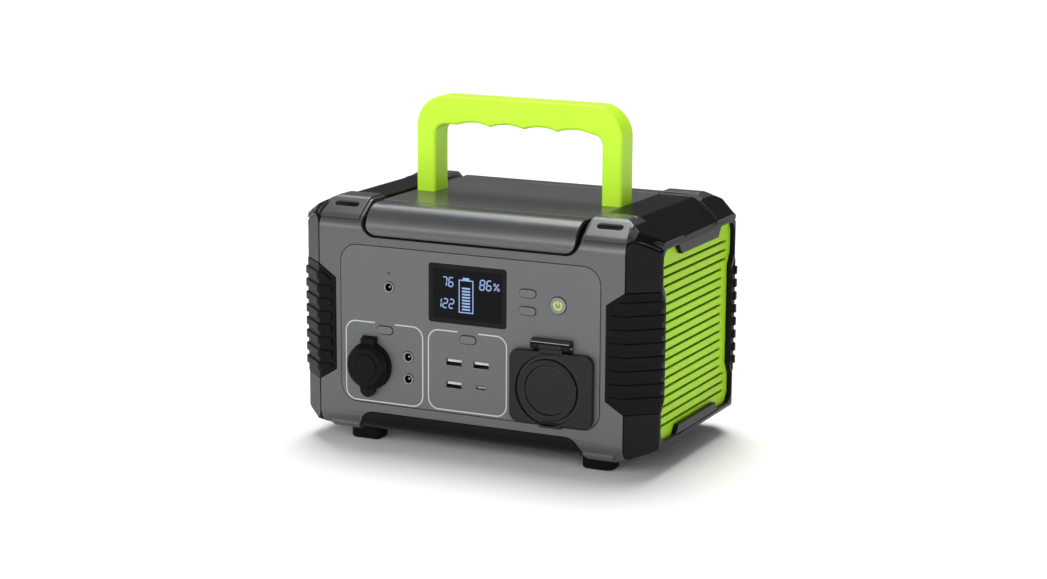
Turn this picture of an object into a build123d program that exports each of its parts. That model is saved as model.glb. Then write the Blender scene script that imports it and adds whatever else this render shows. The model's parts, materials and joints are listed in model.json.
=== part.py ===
"""Portable power station: a grey and black case with a lime handle and lime side vents.

Frame: +Z up, the front face looks along -Y, +X is to the right of someone facing the front.
The origin is on the ground, under the centre of the whole outline, socket cap included.
All sizes are in millimetres.
"""

import os
from math import cos, radians, sin

from build123d import *

os.makedirs("parts", exist_ok=True)

# ---------------------------------------------------------------- driving dimensions
WIDTH = 280.0  # across the side covers
DEPTH = 177.0  # front face to rear face
PROUD = 10.0  # how far the 12 V socket cap stands in front of the front face
FRONT_WIDTH = 240.0  # the grey front face, between the corner facets
FACET_DEPTH = 18.0  # how far the corner facets run back
BASE_Z = 11.0  # underside of the case; the feet fill the space below
TOP_Z = 178.3  # top of the case between the corner pads
DECK_Z = 176.7  # top of the deck plate
WALL = 3.0  # thickness of the covers
SEAM = 0.4  # visible gap between neighbouring covers

FRONT_Y = (PROUD - DEPTH) / 2  # chosen so that the outline is centred on the origin
MID_Y = FRONT_Y + DEPTH / 2
HALF_W = WIDTH / 2
HALF_FRONT = FRONT_WIDTH / 2
ROLL_Z = 164.2  # height at which the front face would meet the slope up to the top
ROLL_DEPTH = 19.5  # depth at which that slope would meet the top
SHOULDER_X = 113.5  # the top slopes down to the sides from here
SHOULDER_Z = 164.0  # and meets them here
CORNER_CUT = 3.0  # how far the edge between a corner facet and the side slope is cut back
FAR = 400.0  # longer than the object, for cutting tools

# The control panel and its neighbours, measured in the front face: x, and z above the ground
PANEL_HALF_W = 102.0
PANEL_LOW_Z = 33.0
PANEL_HIGH_Z = 148.0
PANEL_CORNER_R = 13.0
PANEL_THICK = 2.0
PANEL_MID_Z = (PANEL_LOW_Z + PANEL_HIGH_Z) / 2
PANEL_H = PANEL_HIGH_Z - PANEL_LOW_Z

SCREEN_W = 61.0
SCREEN_H = 42.0
SCREEN_Z = 119.2

POWER_AT = (70.4, 119.0)
POWER_R = 6.0
PILL_W = 12.6
PILL_H = 5.8
PILLS = {
    "display_button": (47.0, 125.2),
    "ac_button": (47.0, 112.8),
    "car_button": (-66.0, 87.6),
    "usb_button": (0.5, 87.4),
}
BUTTON_GAP = 0.35  # clearance all round a button
BUTTON_PROUD = 0.9
BUTTON_TRAVEL = 0.7

DC_JACKS = [(-62.6, 119.4), (-47.0, 70.0), (-47.0, 53.8)]
CHARGE_LED = (-62.6, 129.5)
USB_A_PORTS = [(-10.5, 70.0), (11.0, 70.0), (-10.5, 53.6)]
USB_C_PORT = (11.0, 53.6)
SOCKET_AT = (-78.0, 60.7)
OUTLET_AT = (66.75, 59.0)

BOARD_Y = FRONT_Y + 16.0  # front face of the control board
BOARD_THICK = 1.6

# Side vents
VENT_FACE_X = HALF_W - 4.0  # the grilles sit 4 mm behind the side covers' faces
VENT_THICK = 2.4
SLOT_COUNT = 18
SLOT_PITCH = 6.6
SLOT_TOP_Z = 145.9
SLOT_H = 1.9

# Handle
LEG_IN = 66.8
LEG_OUT = 82.4
HANDLE_TOP_Z = 248.0
GRIP_UNDER_Z = 227.2
HANDLE_DEPTH = 22.0
HANDLE_Y = MID_Y + 1.0

# Fans
FAN_X = 123.5  # middle of each fan
FAN_Z = 98.0
FAN_SIZE = 60.0
FAN_THICK = 15.0

# Battery
CELL_R = 9.1
CELL_LEN = 65.0
CELL_PITCH = 19.6
CELL_COLUMNS = 6
CELL_ROWS = 5
CELL_LOW_Z = 21.0
PACK_Y = MID_Y + 11.0

FRONT = Plane(origin=(0, FRONT_Y, 0), x_dir=(1, 0, 0), z_dir=(0, -1, 0))


def at_depth(depth):
    """Y of a point this far behind the front face."""
    return FRONT_Y + depth


def front_plane(depth):
    """A plane parallel to the front face, this far behind it; its normal looks forwards."""
    return FRONT.offset(-depth)


def save(part, name):
    """Label a finished piece and write its STEP file."""
    part.label = name
    export_step(part, f"parts/{name}.step")
    return part


# ---------------------------------------------------------------- outer form of the case
def corner_plane(x_side, y_side):
    """A plane along the edge between a corner facet and the side slope, facing outwards."""
    facet = Vector(x_side * FACET_DEPTH, y_side * (HALF_W - HALF_FRONT), 0).normalized()
    slope = Vector(x_side * (TOP_Z - SHOULDER_Z), 0, HALF_W - SHOULDER_X).normalized()
    corner = (x_side * HALF_W, MID_Y + y_side * (DEPTH / 2 - FACET_DEPTH), SHOULDER_Z)
    return Plane(origin=corner, z_dir=facet + slope)


def envelope(grow):
    """The case's outer form, moved outwards by a distance: plan, side and front outlines crossed."""
    low_front = at_depth(0)
    high_rear = at_depth(DEPTH)
    with BuildPart() as form:
        with BuildSketch(Plane.XY):
            with BuildLine():
                FilletPolyline(
                    (-HALF_FRONT, low_front),
                    (HALF_FRONT, low_front),
                    (HALF_W, low_front + FACET_DEPTH),
                    (HALF_W, high_rear - FACET_DEPTH),
                    (HALF_FRONT, high_rear),
                    (-HALF_FRONT, high_rear),
                    (-HALF_W, high_rear - FACET_DEPTH),
                    (-HALF_W, low_front + FACET_DEPTH),
                    radius=3.5,
                    close=True,
                )
            make_face()
            if grow:
                offset(amount=grow, kind=Kind.INTERSECTION)
        extrude(amount=FAR)
        with BuildSketch(Plane.YZ):
            with BuildLine():
                FilletPolyline(
                    (low_front, BASE_Z),
                    (low_front, ROLL_Z),
                    (low_front + ROLL_DEPTH, TOP_Z),
                    (high_rear - ROLL_DEPTH, TOP_Z),
                    (high_rear, ROLL_Z),
                    (high_rear, BASE_Z),
                    radius=(13.5, 14.0, 8.0, 8.0, 14.0, 13.5),
                    close=True,
                )
            make_face()
            if grow:
                offset(amount=grow, kind=Kind.INTERSECTION)
        extrude(amount=FAR, both=True, mode=Mode.INTERSECT)
        with BuildSketch(Plane.XZ):
            with BuildLine():
                FilletPolyline(
                    (-112.0, BASE_Z),
                    (112.0, BASE_Z),
                    (HALF_W, 20.0),
                    (HALF_W, SHOULDER_Z),
                    (SHOULDER_X, TOP_Z),
                    (-SHOULDER_X, TOP_Z),
                    (-HALF_W, SHOULDER_Z),
                    (-HALF_W, 20.0),
                    radius=4.0,
                    close=True,
                )
            make_face()
            if grow:
                offset(amount=grow, kind=Kind.INTERSECTION)
        extrude(amount=FAR, both=True, mode=Mode.INTERSECT)
        for x_side in (-1, 1):
            for y_side in (-1, 1):
                split(bisect_by=corner_plane(x_side, y_side).offset(grow - CORNER_CUT), keep=Keep.BOTTOM)
    return form.part


OUTER = envelope(0.0)
INNER = envelope(-WALL)


def shell_of(region):
    """The case wall inside a cutting region."""
    with BuildPart() as wall:
        add(OUTER)
        add(INNER, mode=Mode.SUBTRACT)
        add(region, mode=Mode.INTERSECT)
    return wall.part


# ---------------------------------------------------------------- front and rear covers
PAD_IN = 88.0  # inner end of a corner pad
PAD_OUT = HALF_FRONT - SEAM / 2
PAD_LOW_Z = 166.5  # the upper pads start at this height on the front
PAD_BACK = 36.0
PAD_RISE = 1.7
TOP_CUT_HALF = 86.0
TOP_CUT_Z = 154.2
LOW_CUT_Z = 26.0
TOP_WRAP = 38.0  # how far the front cover runs back over the top
LOW_WRAP = 14.0  # and under the base


def front_region():
    """What the front cover covers, as a cutting tool."""
    with BuildPart() as region:
        with BuildSketch(front_plane(-5.0)):
            with BuildLine():
                FilletPolyline(
                    (-HALF_FRONT + SEAM / 2, 0),
                    (-93.0, 0),
                    (-91.0, 10.5),
                    (-83.0, LOW_CUT_Z),
                    (83.0, LOW_CUT_Z),
                    (91.0, 10.5),
                    (93.0, 0),
                    (HALF_FRONT - SEAM / 2, 0),
                    (HALF_FRONT - SEAM / 2, 200.0),
                    (TOP_CUT_HALF, 200.0),
                    (TOP_CUT_HALF, TOP_CUT_Z),
                    (-TOP_CUT_HALF, TOP_CUT_Z),
                    (-TOP_CUT_HALF, 200.0),
                    (-HALF_FRONT + SEAM / 2, 200.0),
                    radius=(0, 0, 0, 11.0, 11.0, 0, 0, 0, 0, 0, 11.0, 11.0, 0, 0),
                    close=True,
                )
            make_face()
        extrude(amount=-60.0)
        with BuildSketch(Plane.YZ):
            with BuildLine():
                Polyline(
                    (at_depth(-20), -10),
                    (at_depth(LOW_WRAP), -10),
                    (at_depth(LOW_WRAP), 100),
                    (at_depth(TOP_WRAP), 100),
                    (at_depth(TOP_WRAP), 220),
                    (at_depth(-20), 220),
                    close=True,
                )
            make_face()
        extrude(amount=FAR, both=True, mode=Mode.INTERSECT)
    return region.part


def corner_pads():
    """The four raised pads of one cover: two on the upper corners, two small ones on the lower."""
    raised = envelope(PAD_RISE)
    core = envelope(-1.0)
    cover = front_region()
    with BuildPart() as pads:
        with BuildSketch(front_plane(-5.0)):
            for side in (-1, 1):
                with Locations((side * (PAD_IN + PAD_OUT) / 2, 185.0)):
                    Rectangle(PAD_OUT - PAD_IN, 60.0)
                with Locations((side * 100.5, 9.0)):
                    Rectangle(23.0, 18.0)
        extrude(amount=-60.0)
        with BuildSketch(Plane.YZ):
            with BuildLine():
                Polyline(
                    (at_depth(2.5), 0),
                    (at_depth(LOW_WRAP), 0),
                    (at_depth(LOW_WRAP), 60),
                    (at_depth(2.5), 60),
                    close=True,
                )
            make_face()
            with BuildLine():
                Polyline(
                    (at_depth(-10.0), PAD_LOW_Z),
                    (at_depth(PAD_BACK), PAD_LOW_Z),
                    (at_depth(PAD_BACK), 200),
                    (at_depth(-10.0), 200),
                    close=True,
                )
            make_face()
        extrude(amount=FAR, both=True, mode=Mode.INTERSECT)
        add(cover, mode=Mode.INTERSECT)
        add(raised, mode=Mode.INTERSECT)
        add(core, mode=Mode.SUBTRACT)
    return pads.part


def shoulder_pad():
    """The front right pad's continuation over the side cover, down to the vent window's corner."""
    end_x = HALF_W - 0.1
    raised = envelope(PAD_RISE)
    core = envelope(-1.0)
    with BuildPart() as pad:
        with BuildSketch(front_plane(-5.0)):
            with BuildLine():
                Polyline(
                    (HALF_FRONT + SEAM / 2, PAD_LOW_Z + 1.0),
                    (128.0, PAD_LOW_Z + 1.0),
                    (end_x, 160.8),
                    (end_x, 200.0),
                    (HALF_FRONT + SEAM / 2, 200.0),
                    close=True,
                )
            make_face()
        extrude(amount=-80.0)
        with BuildSketch(Plane.XY.offset(100.0)):
            with BuildLine():
                Polyline(
                    (116.0, at_depth(-5.0)),
                    (end_x, at_depth(-5.0)),
                    (end_x, at_depth(57.0)),
                    (116.0, at_depth(PAD_BACK + 2.0)),
                    close=True,
                )
            make_face()
        extrude(amount=120.0, mode=Mode.INTERSECT)
        add(raised, mode=Mode.INTERSECT)
        add(core, mode=Mode.SUBTRACT)
    return pad.part


GRIP_IN = 106.5
GRIP_LOW = 46.5
GRIP_HIGH = 131.7
GRIP_WAIST_LOW = 54.9
GRIP_WAIST_HIGH = 122.4
GRIP_BACK = 25.0


def grip_region(margin):
    """Outline of the front right corner grip, as a cutting tool, moved outwards by a margin."""
    with BuildPart() as region:
        with BuildSketch(front_plane(-8.0)):
            with BuildLine():
                Polyline(
                    (GRIP_IN, GRIP_WAIST_LOW),
                    (HALF_FRONT, GRIP_LOW),
                    (HALF_W + 20.0, GRIP_LOW),
                    (HALF_W + 20.0, GRIP_HIGH),
                    (HALF_FRONT, GRIP_HIGH),
                    (GRIP_IN, GRIP_WAIST_HIGH),
                    close=True,
                )
            make_face()
            if margin:
                offset(amount=margin, kind=Kind.INTERSECTION)
        extrude(amount=-60.0)
        with BuildSketch(Plane.YZ):
            with BuildLine():
                Polyline(
                    (at_depth(-10.0), GRIP_LOW - 10.0),
                    (at_depth(FACET_DEPTH - 1.0), GRIP_LOW - 0.5),
                    (at_depth(GRIP_BACK), GRIP_WAIST_LOW),
                    (at_depth(GRIP_BACK), GRIP_WAIST_HIGH),
                    (at_depth(FACET_DEPTH - 1.0), GRIP_HIGH + 0.5),
                    (at_depth(-10.0), GRIP_HIGH + 10.0),
                    close=True,
                )
            make_face()
            if margin:
                offset(amount=margin, kind=Kind.INTERSECTION)
        extrude(amount=FAR, both=True, mode=Mode.INTERSECT)
    return region.part


GRIP_POCKET = 1.5  # depth of the pocket that a grip sits in


def grip_pocket():
    """What the covers lose so that the front right grip can sink into them."""
    below = envelope(-GRIP_POCKET)
    outline = grip_region(0.2)
    with BuildPart() as pocket:
        add(outline)
        add(below, mode=Mode.SUBTRACT)
    return pocket.part


POCKET = grip_pocket()
PADS = corner_pads()
FRONT_SHELL = shell_of(front_region())

PAD_SLOT_X = 103.3
PAD_SLOT_Z = 175.1
PAD_SLOT_DEPTH = 12.1

with BuildPart() as front_cover:
    add(FRONT_SHELL)
    add(PADS)
    # Window for the control panel: a pocket as deep as the panel, with a ledge behind it
    with BuildSketch(FRONT):
        with Locations((0, PANEL_MID_Z)):
            RectangleRounded(2 * PANEL_HALF_W + 0.8, PANEL_H + 0.8, PANEL_CORNER_R + 0.4)
    extrude(amount=-PANEL_THICK, mode=Mode.SUBTRACT)
    with BuildSketch(FRONT):
        with Locations((0, PANEL_MID_Z)):
            RectangleRounded(2 * PANEL_HALF_W - 5.0, PANEL_H - 5.0, PANEL_CORNER_R - 2.5)
    extrude(amount=-10.0, mode=Mode.SUBTRACT)
    for side in (-1, 1):
        # Pill-shaped recess in the slope of each upper pad
        recess = Plane(
            origin=(side * PAD_SLOT_X, at_depth(PAD_SLOT_DEPTH), PAD_SLOT_Z),
            x_dir=(1, 0, 0),
            z_dir=(0, ROLL_Z - TOP_Z, ROLL_DEPTH),
        )
        with BuildSketch(recess):
            SlotOverall(19.4, 5.2)
        extrude(amount=-1.6, mode=Mode.SUBTRACT)
        with BuildSketch(recess):
            SlotOverall(19.4, 5.2)
        extrude(amount=5.0, mode=Mode.SUBTRACT)
        # Fine groove across the top of each pad
        with BuildSketch(Plane.XY.offset(TOP_Z + PAD_RISE)):
            with Locations((side * 104.0, at_depth(31.0))):
                Rectangle(25.0, 1.2)
        extrude(amount=-0.8, mode=Mode.SUBTRACT)
    add(POCKET, mode=Mode.SUBTRACT)
    add(POCKET.mirror(Plane.YZ), mode=Mode.SUBTRACT)
save(front_cover.part, "front_cover")

MID_PLANE = Plane(origin=(0, MID_Y, 0), x_dir=(1, 0, 0), z_dir=(0, 1, 0))

with BuildPart() as rear_cover:
    mirror(front_cover.part, about=MID_PLANE)
save(rear_cover.part, "rear_cover")

with BuildPart() as rear_panel:
    with BuildSketch(front_plane(DEPTH)):
        with Locations((0, PANEL_MID_Z)):
            RectangleRounded(2 * PANEL_HALF_W, PANEL_H, PANEL_CORNER_R)
    extrude(amount=PANEL_THICK)
    # Shallow field, and a finger-wide step round it
    with BuildSketch(front_plane(DEPTH)):
        with Locations((0, PANEL_MID_Z)):
            RectangleRounded(2 * PANEL_HALF_W - 24.0, PANEL_H - 24.0, PANEL_CORNER_R - 5.0)
    extrude(amount=0.8, mode=Mode.SUBTRACT)
save(rear_panel.part, "rear_panel")

# ---------------------------------------------------------------- side covers
WINDOW_FRONT = 20.5  # depth of the vent window's front edge behind the front face
WINDOW_WAIST = 26.0
WINDOW_LOW_Z = 24.0
WINDOW_HIGH_Z = 159.8
TAB_WIDE = 48.0  # front edge of the top and bottom tabs that reach into the window
TAB_NARROW = 53.0
TOP_TAB_Z = 152.6
LOW_TAB_Z = 30.4


def vent_outline():
    """Half outline of the vent window, front half, as depth and height, from bottom to top."""
    return [
        (TAB_NARROW, LOW_TAB_Z),
        (TAB_WIDE, WINDOW_LOW_Z),
        (WINDOW_FRONT, WINDOW_LOW_Z),
        (WINDOW_FRONT, 44.0),
        (WINDOW_WAIST, 53.5),
        (WINDOW_WAIST, 127.5),
        (WINDOW_FRONT, 137.0),
        (WINDOW_FRONT, WINDOW_HIGH_Z),
        (TAB_WIDE, WINDOW_HIGH_Z),
        (TAB_NARROW, TOP_TAB_Z),
    ]


def vent_points():
    """Whole outline of the vent window in the YZ plane."""
    half = vent_outline()
    front_half = [(at_depth(depth), z) for depth, z in half]
    rear_half = [(at_depth(DEPTH - depth), z) for depth, z in reversed(half)]
    return front_half + rear_half


VENT_RADII = (2.0, 2.0, 9.0, 4.0, 4.0, 4.0, 4.0, 9.0, 2.0, 2.0)


def vent_solid(grow, low_x, high_x):
    """A slab with the vent window's outline, between two distances from the middle plane."""
    with BuildPart() as slab:
        with BuildSketch(Plane.YZ.offset(low_x)):
            with BuildLine():
                FilletPolyline(*vent_points(), radius=VENT_RADII + VENT_RADII[::-1], close=True)
            make_face()
            if grow:
                offset(amount=grow, kind=Kind.INTERSECTION)
        extrude(amount=high_x - low_x)
    return slab.part


def side_region():
    """What the right side cover covers, as a cutting tool."""
    with BuildPart() as region:
        with BuildSketch(Plane.XZ.offset(-FAR)):
            with BuildLine():
                Polyline(
                    (HALF_FRONT + SEAM / 2, -10),
                    (HALF_FRONT + 40, -10),
                    (HALF_FRONT + 40, 220),
                    (HALF_FRONT + SEAM / 2, 220),
                    close=True,
                )
            make_face()
        extrude(amount=2 * FAR)
        with BuildSketch(Plane.XY.offset(100.0)):
            with Locations(((TOP_CUT_HALF + 0.3 + 150.0) / 2, MID_Y)):
                Rectangle(150.0 - TOP_CUT_HALF - 0.3, DEPTH - 2 * TOP_WRAP - 2 * SEAM)
        extrude(amount=120.0)
        with BuildSketch(Plane.XY.offset(-10.0)):
            with Locations(((112.3 + 150.0) / 2, MID_Y)):
                Rectangle(150.0 - 112.3, DEPTH - 2 * LOW_WRAP - 2 * SEAM)
        extrude(amount=60.0)
    return region.part


SIDE_SHELL = shell_of(side_region())
SHOULDER = shoulder_pad()
WINDOW = vent_solid(0.0, HALF_W - WALL - 3.0, HALF_W + 3.0)

with BuildPart() as right_side_cover:
    add(SIDE_SHELL)
    add(SHOULDER)
    add(SHOULDER.mirror(MID_PLANE))
    add(WINDOW, mode=Mode.SUBTRACT)
    add(POCKET, mode=Mode.SUBTRACT)
    add(POCKET.mirror(MID_PLANE), mode=Mode.SUBTRACT)
save(right_side_cover.part, "right_side_cover")

with BuildPart() as left_side_cover:
    mirror(right_side_cover.part, about=Plane.YZ)
save(left_side_cover.part, "left_side_cover")

GRILLE_PLATE = vent_solid(1.2, VENT_FACE_X - VENT_THICK, VENT_FACE_X)

with BuildPart() as right_vent_grille:
    add(GRILLE_PLATE)
    for row in range(SLOT_COUNT):
        slot_z = SLOT_TOP_Z - row * SLOT_PITCH
        in_waist = 50.0 < slot_z < 131.0
        slot_len = 106.0 if in_waist else 121.0
        with BuildSketch(Plane.YZ.offset(VENT_FACE_X + 1.0)):
            with Locations((MID_Y, slot_z)):
                SlotOverall(slot_len, SLOT_H)
        extrude(amount=-VENT_THICK - 2.0, mode=Mode.SUBTRACT)
save(right_vent_grille.part, "right_vent_grille")

with BuildPart() as left_vent_grille:
    mirror(right_vent_grille.part, about=Plane.YZ)
save(left_vent_grille.part, "left_vent_grille")

# ---------------------------------------------------------------- rubber corner grips
RIB_COUNT = 8
RIB_PITCH = 9.6
RIB_H = 5.6
RIB_MID_Z = (GRIP_LOW + GRIP_HIGH) / 2
GRIP_OUTLINE = grip_region(0.0)
GRIP_RIBS_OUTLINE = grip_region(-3.0)
GRIP_FLOOR = envelope(-GRIP_POCKET + 0.02)
GRIP_BASE = envelope(0.4)
GRIP_CREST = envelope(1.9)

with BuildPart() as grip_ribs:
    add(GRIP_RIBS_OUTLINE)
    add(GRIP_CREST, mode=Mode.INTERSECT)
    add(GRIP_FLOOR, mode=Mode.SUBTRACT)
    with BuildSketch(front_plane(-20.0)):
        for rib in range(RIB_COUNT):
            rib_z = RIB_MID_Z + (rib - (RIB_COUNT - 1) / 2) * RIB_PITCH
            with Locations((HALF_W - 20.0, rib_z)):
                Rectangle(80.0, RIB_H)
    extrude(amount=-80.0, mode=Mode.INTERSECT)

with BuildPart() as front_right_grip:
    add(GRIP_OUTLINE)
    add(GRIP_BASE, mode=Mode.INTERSECT)
    add(GRIP_FLOOR, mode=Mode.SUBTRACT)
    add(grip_ribs.part)
save(front_right_grip.part, "front_right_grip")

with BuildPart() as front_left_grip:
    mirror(front_right_grip.part, about=Plane.YZ)
save(front_left_grip.part, "front_left_grip")

with BuildPart() as rear_right_grip:
    mirror(front_right_grip.part, about=MID_PLANE)
save(rear_right_grip.part, "rear_right_grip")

with BuildPart() as rear_left_grip:
    mirror(front_left_grip.part, about=MID_PLANE)
save(rear_left_grip.part, "rear_left_grip")

# ---------------------------------------------------------------- top
BAR_HALF = 82.0
BAR_THICK = 2.6
BAR_R = 21.5
BAR_LOW_Z = 155.2
BAR_BACK = 28.3
DECK_FRONT = 30.0
DECK_THICK = 2.3
DECK_HALF_W = 84.6
FRAME_DROP = 4.2  # the black frame lies this far inside the case's outer form
FRAME_THICK = 2.4
FRAME_TOP_Z = TOP_Z - FRAME_DROP

with BuildPart() as front_trim_bar:
    with BuildSketch(Plane.YZ.offset(-BAR_HALF)):
        with BuildLine():
            foot = (at_depth(1.6), BAR_LOW_Z)
            belly = (at_depth(0.3), 158.4)
            crown = (at_depth(0.3 + BAR_R), TOP_Z - 1.4)
            back = (at_depth(BAR_BACK), TOP_Z - 1.4)
            Line(foot, belly)
            TangentArc(belly, crown, tangent=(0, 1))
            Line(crown, back)
            Line(back, (back[0], back[1] - BAR_THICK))
            Line((back[0], back[1] - BAR_THICK), (crown[0], crown[1] - BAR_THICK))
            TangentArc(
                (crown[0], crown[1] - BAR_THICK), (belly[0] + BAR_THICK, belly[1]), tangent=(-1, 0)
            )
            Line((belly[0] + BAR_THICK, belly[1]), (foot[0] + BAR_THICK, foot[1]))
            Line((foot[0] + BAR_THICK, foot[1]), foot)
        make_face()
    extrude(amount=2 * BAR_HALF)
    # The lower corners follow the rounded corners of the front cover's cut-out
    with BuildSketch(front_plane(-5.0)):
        with Locations((0, BAR_LOW_Z + 30.0)):
            RectangleRounded(2 * BAR_HALF, 60.0, 8.5)
    extrude(amount=-60.0, mode=Mode.INTERSECT)
save(front_trim_bar.part, "front_trim_bar")

with BuildPart() as rear_trim_bar:
    mirror(front_trim_bar.part, about=MID_PLANE)
save(rear_trim_bar.part, "rear_trim_bar")

LEG_X = (LEG_IN + LEG_OUT) / 2
HANDLE_SCREW_Y = 6.0  # the two screws of a leg stand this far from its middle
HANDLE_SCREW_R = 2.0
HANDLE_SCREWS = [
    (side * LEG_X, HANDLE_Y + offset_y)
    for side in (-1, 1)
    for offset_y in (-HANDLE_SCREW_Y, HANDLE_SCREW_Y)
]

with BuildPart() as deck_plate:
    with BuildSketch(Plane.XY.offset(DECK_Z - DECK_THICK)):
        with Locations((0, MID_Y)):
            RectangleRounded(2 * DECK_HALF_W, DEPTH - 2 * DECK_FRONT, 3.0)
        with Locations(*HANDLE_SCREWS):
            Circle(HANDLE_SCREW_R + 0.3, mode=Mode.SUBTRACT)
    extrude(amount=DECK_THICK)
    chamfer(deck_plate.faces().sort_by(Axis.Z)[-1].outer_wire().edges(), length=0.5)
save(deck_plate.part, "deck_plate")

FRAME_OUTER = envelope(-FRAME_DROP)
FRAME_INNER = envelope(-FRAME_DROP - FRAME_THICK)

with BuildPart() as top_frame:
    with BuildSketch(Plane.XY.offset(149.0)):
        with Locations((0, MID_Y)):
            Rectangle(214.0, DEPTH - 6.0)
    extrude(amount=40.0)
    add(FRAME_OUTER, mode=Mode.INTERSECT)
    add(FRAME_INNER, mode=Mode.SUBTRACT)
    with BuildSketch(Plane.XY.offset(FRAME_TOP_Z)):
        with Locations(*HANDLE_SCREWS):
            Circle(HANDLE_SCREW_R + 0.3)
    extrude(amount=-FRAME_THICK - 1.0, mode=Mode.SUBTRACT)
    # Stiffening ribs under the deck
    for rib_x in (-40.0, 0.0, 40.0):
        with BuildSketch(Plane.YZ.offset(rib_x - 1.0)):
            with Locations((MID_Y, FRAME_TOP_Z - FRAME_THICK - 2.0)):
                Rectangle(100.0, 5.0)
        extrude(amount=2.0)
save(top_frame.part, "top_frame")

# ---------------------------------------------------------------- base
BOTTOM_HALF_W = 111.9

with BuildPart() as bottom_region:
    with BuildSketch(Plane.XY.offset(-10.0)):
        with Locations((0, MID_Y)):
            Rectangle(2 * BOTTOM_HALF_W, DEPTH - 2 * LOW_WRAP - 2 * SEAM)
    extrude(amount=30.0)
    with BuildSketch(front_plane(-5.0)):
        with BuildLine():
            FilletPolyline(
                (-92.6, 0),
                (-90.6, 10.3),
                (-82.7, LOW_CUT_Z - SEAM),
                (82.7, LOW_CUT_Z - SEAM),
                (90.6, 10.3),
                (92.6, 0),
                radius=(0, 11.0, 11.0, 11.0, 11.0, 0),
                close=True,
            )
        make_face()
    extrude(amount=-(DEPTH + 10.0))

BOTTOM_SHELL = shell_of(bottom_region.part)
FOOT_X = 93.0
FOOT_DEPTH = 25.0
FOOT_W = 24.0
FOOT_L = 17.0
FEET = [
    (side * FOOT_X, at_depth(depth))
    for side in (-1, 1)
    for depth in (FOOT_DEPTH, DEPTH - FOOT_DEPTH)
]

with BuildPart() as bottom_cover:
    add(BOTTOM_SHELL)
    with BuildSketch(Plane.XY.offset(BASE_Z - 1.0)):
        with Locations(*FEET):
            Circle(2.5)
    extrude(amount=WALL + 2.0, mode=Mode.SUBTRACT)
save(bottom_cover.part, "bottom_cover")

with BuildPart() as rubber_feet:
    with BuildSketch(Plane.XY):
        with Locations(*FEET):
            RectangleRounded(FOOT_W, FOOT_L, 5.0)
    extrude(amount=BASE_Z)
    chamfer(rubber_feet.faces().group_by(Axis.Z)[0].edges(), length=1.5)
save(rubber_feet.part, "rubber_feet")

# ---------------------------------------------------------------- handle
GRIP_CREST_X = -49.5  # first of the finger crests under the grip
FINGER_PITCH = 27.0
FINGER_COUNT = 4
FINGER_R = 41.0  # radius of a finger scallop
FINGER_RISE = 2.3
LEG_HOLE_DEPTH = 16.0

with BuildPart() as handle:
    front_of_handle = Plane.XZ.offset(-HANDLE_Y - HANDLE_DEPTH / 2)
    with BuildSketch(front_of_handle):
        with BuildLine():
            FilletPolyline(
                (-LEG_OUT, DECK_Z),
                (-LEG_OUT, HANDLE_TOP_Z),
                (LEG_OUT, HANDLE_TOP_Z),
                (LEG_OUT, DECK_Z),
                radius=(0, 23.0, 23.0, 0),
                close=True,
            )
        make_face()
    extrude(amount=HANDLE_DEPTH)
    standing = handle.faces().sort_by(Axis.Z)[0].edges()
    fillet(handle.faces().filter_by(Axis.Y).edges() - standing, radius=1.6)
    # The hand opening, then the finger scallops along the underside of the grip
    with BuildSketch(front_of_handle.offset(-5.0)):
        with BuildLine():
            FilletPolyline(
                (-LEG_IN, DECK_Z - 20.0),
                (-LEG_IN, GRIP_UNDER_Z),
                (LEG_IN, GRIP_UNDER_Z),
                (LEG_IN, DECK_Z - 20.0),
                radius=(0, 8.0, 8.0, 0),
                close=True,
            )
        make_face()
    extrude(amount=HANDLE_DEPTH + 10.0, mode=Mode.SUBTRACT)
    with BuildSketch(front_of_handle.offset(-5.0)):
        for finger in range(FINGER_COUNT):
            finger_x = GRIP_CREST_X + (finger + 0.5) * FINGER_PITCH
            with Locations((finger_x, GRIP_UNDER_Z + FINGER_RISE - FINGER_R)):
                Circle(FINGER_R)
        with Locations((GRIP_CREST_X + FINGER_COUNT * FINGER_PITCH / 2, GRIP_UNDER_Z)):
            Rectangle(FINGER_COUNT * FINGER_PITCH, 4 * FINGER_RISE, mode=Mode.INTERSECT)
    extrude(amount=HANDLE_DEPTH + 10.0, mode=Mode.SUBTRACT)
    with BuildSketch(Plane.XY.offset(DECK_Z)):
        with Locations(*HANDLE_SCREWS):
            Circle(HANDLE_SCREW_R - 0.1)
    extrude(amount=LEG_HOLE_DEPTH, mode=Mode.SUBTRACT)
save(handle.part, "handle")

SCREW_HEAD_R = 3.8
SCREW_HEAD_H = 2.6
FRAME_UNDER_Z = FRAME_TOP_Z - FRAME_THICK

with BuildPart() as handle_screws:
    with BuildSketch(Plane.XY.offset(FRAME_UNDER_Z - SCREW_HEAD_H)):
        with Locations(*HANDLE_SCREWS):
            Circle(SCREW_HEAD_R)
    extrude(amount=SCREW_HEAD_H)
    with BuildSketch(Plane.XY.offset(FRAME_UNDER_Z)):
        with Locations(*HANDLE_SCREWS):
            Circle(HANDLE_SCREW_R - 0.15)
    extrude(amount=FRAME_THICK + DECK_THICK + 12.0)
    with BuildSketch(Plane.XY.offset(FRAME_UNDER_Z - SCREW_HEAD_H)):
        with Locations(*HANDLE_SCREWS):
            RegularPolygon(1.6, 6)
    extrude(amount=1.5, mode=Mode.SUBTRACT)
save(handle_screws.part, "handle_screws")

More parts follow.
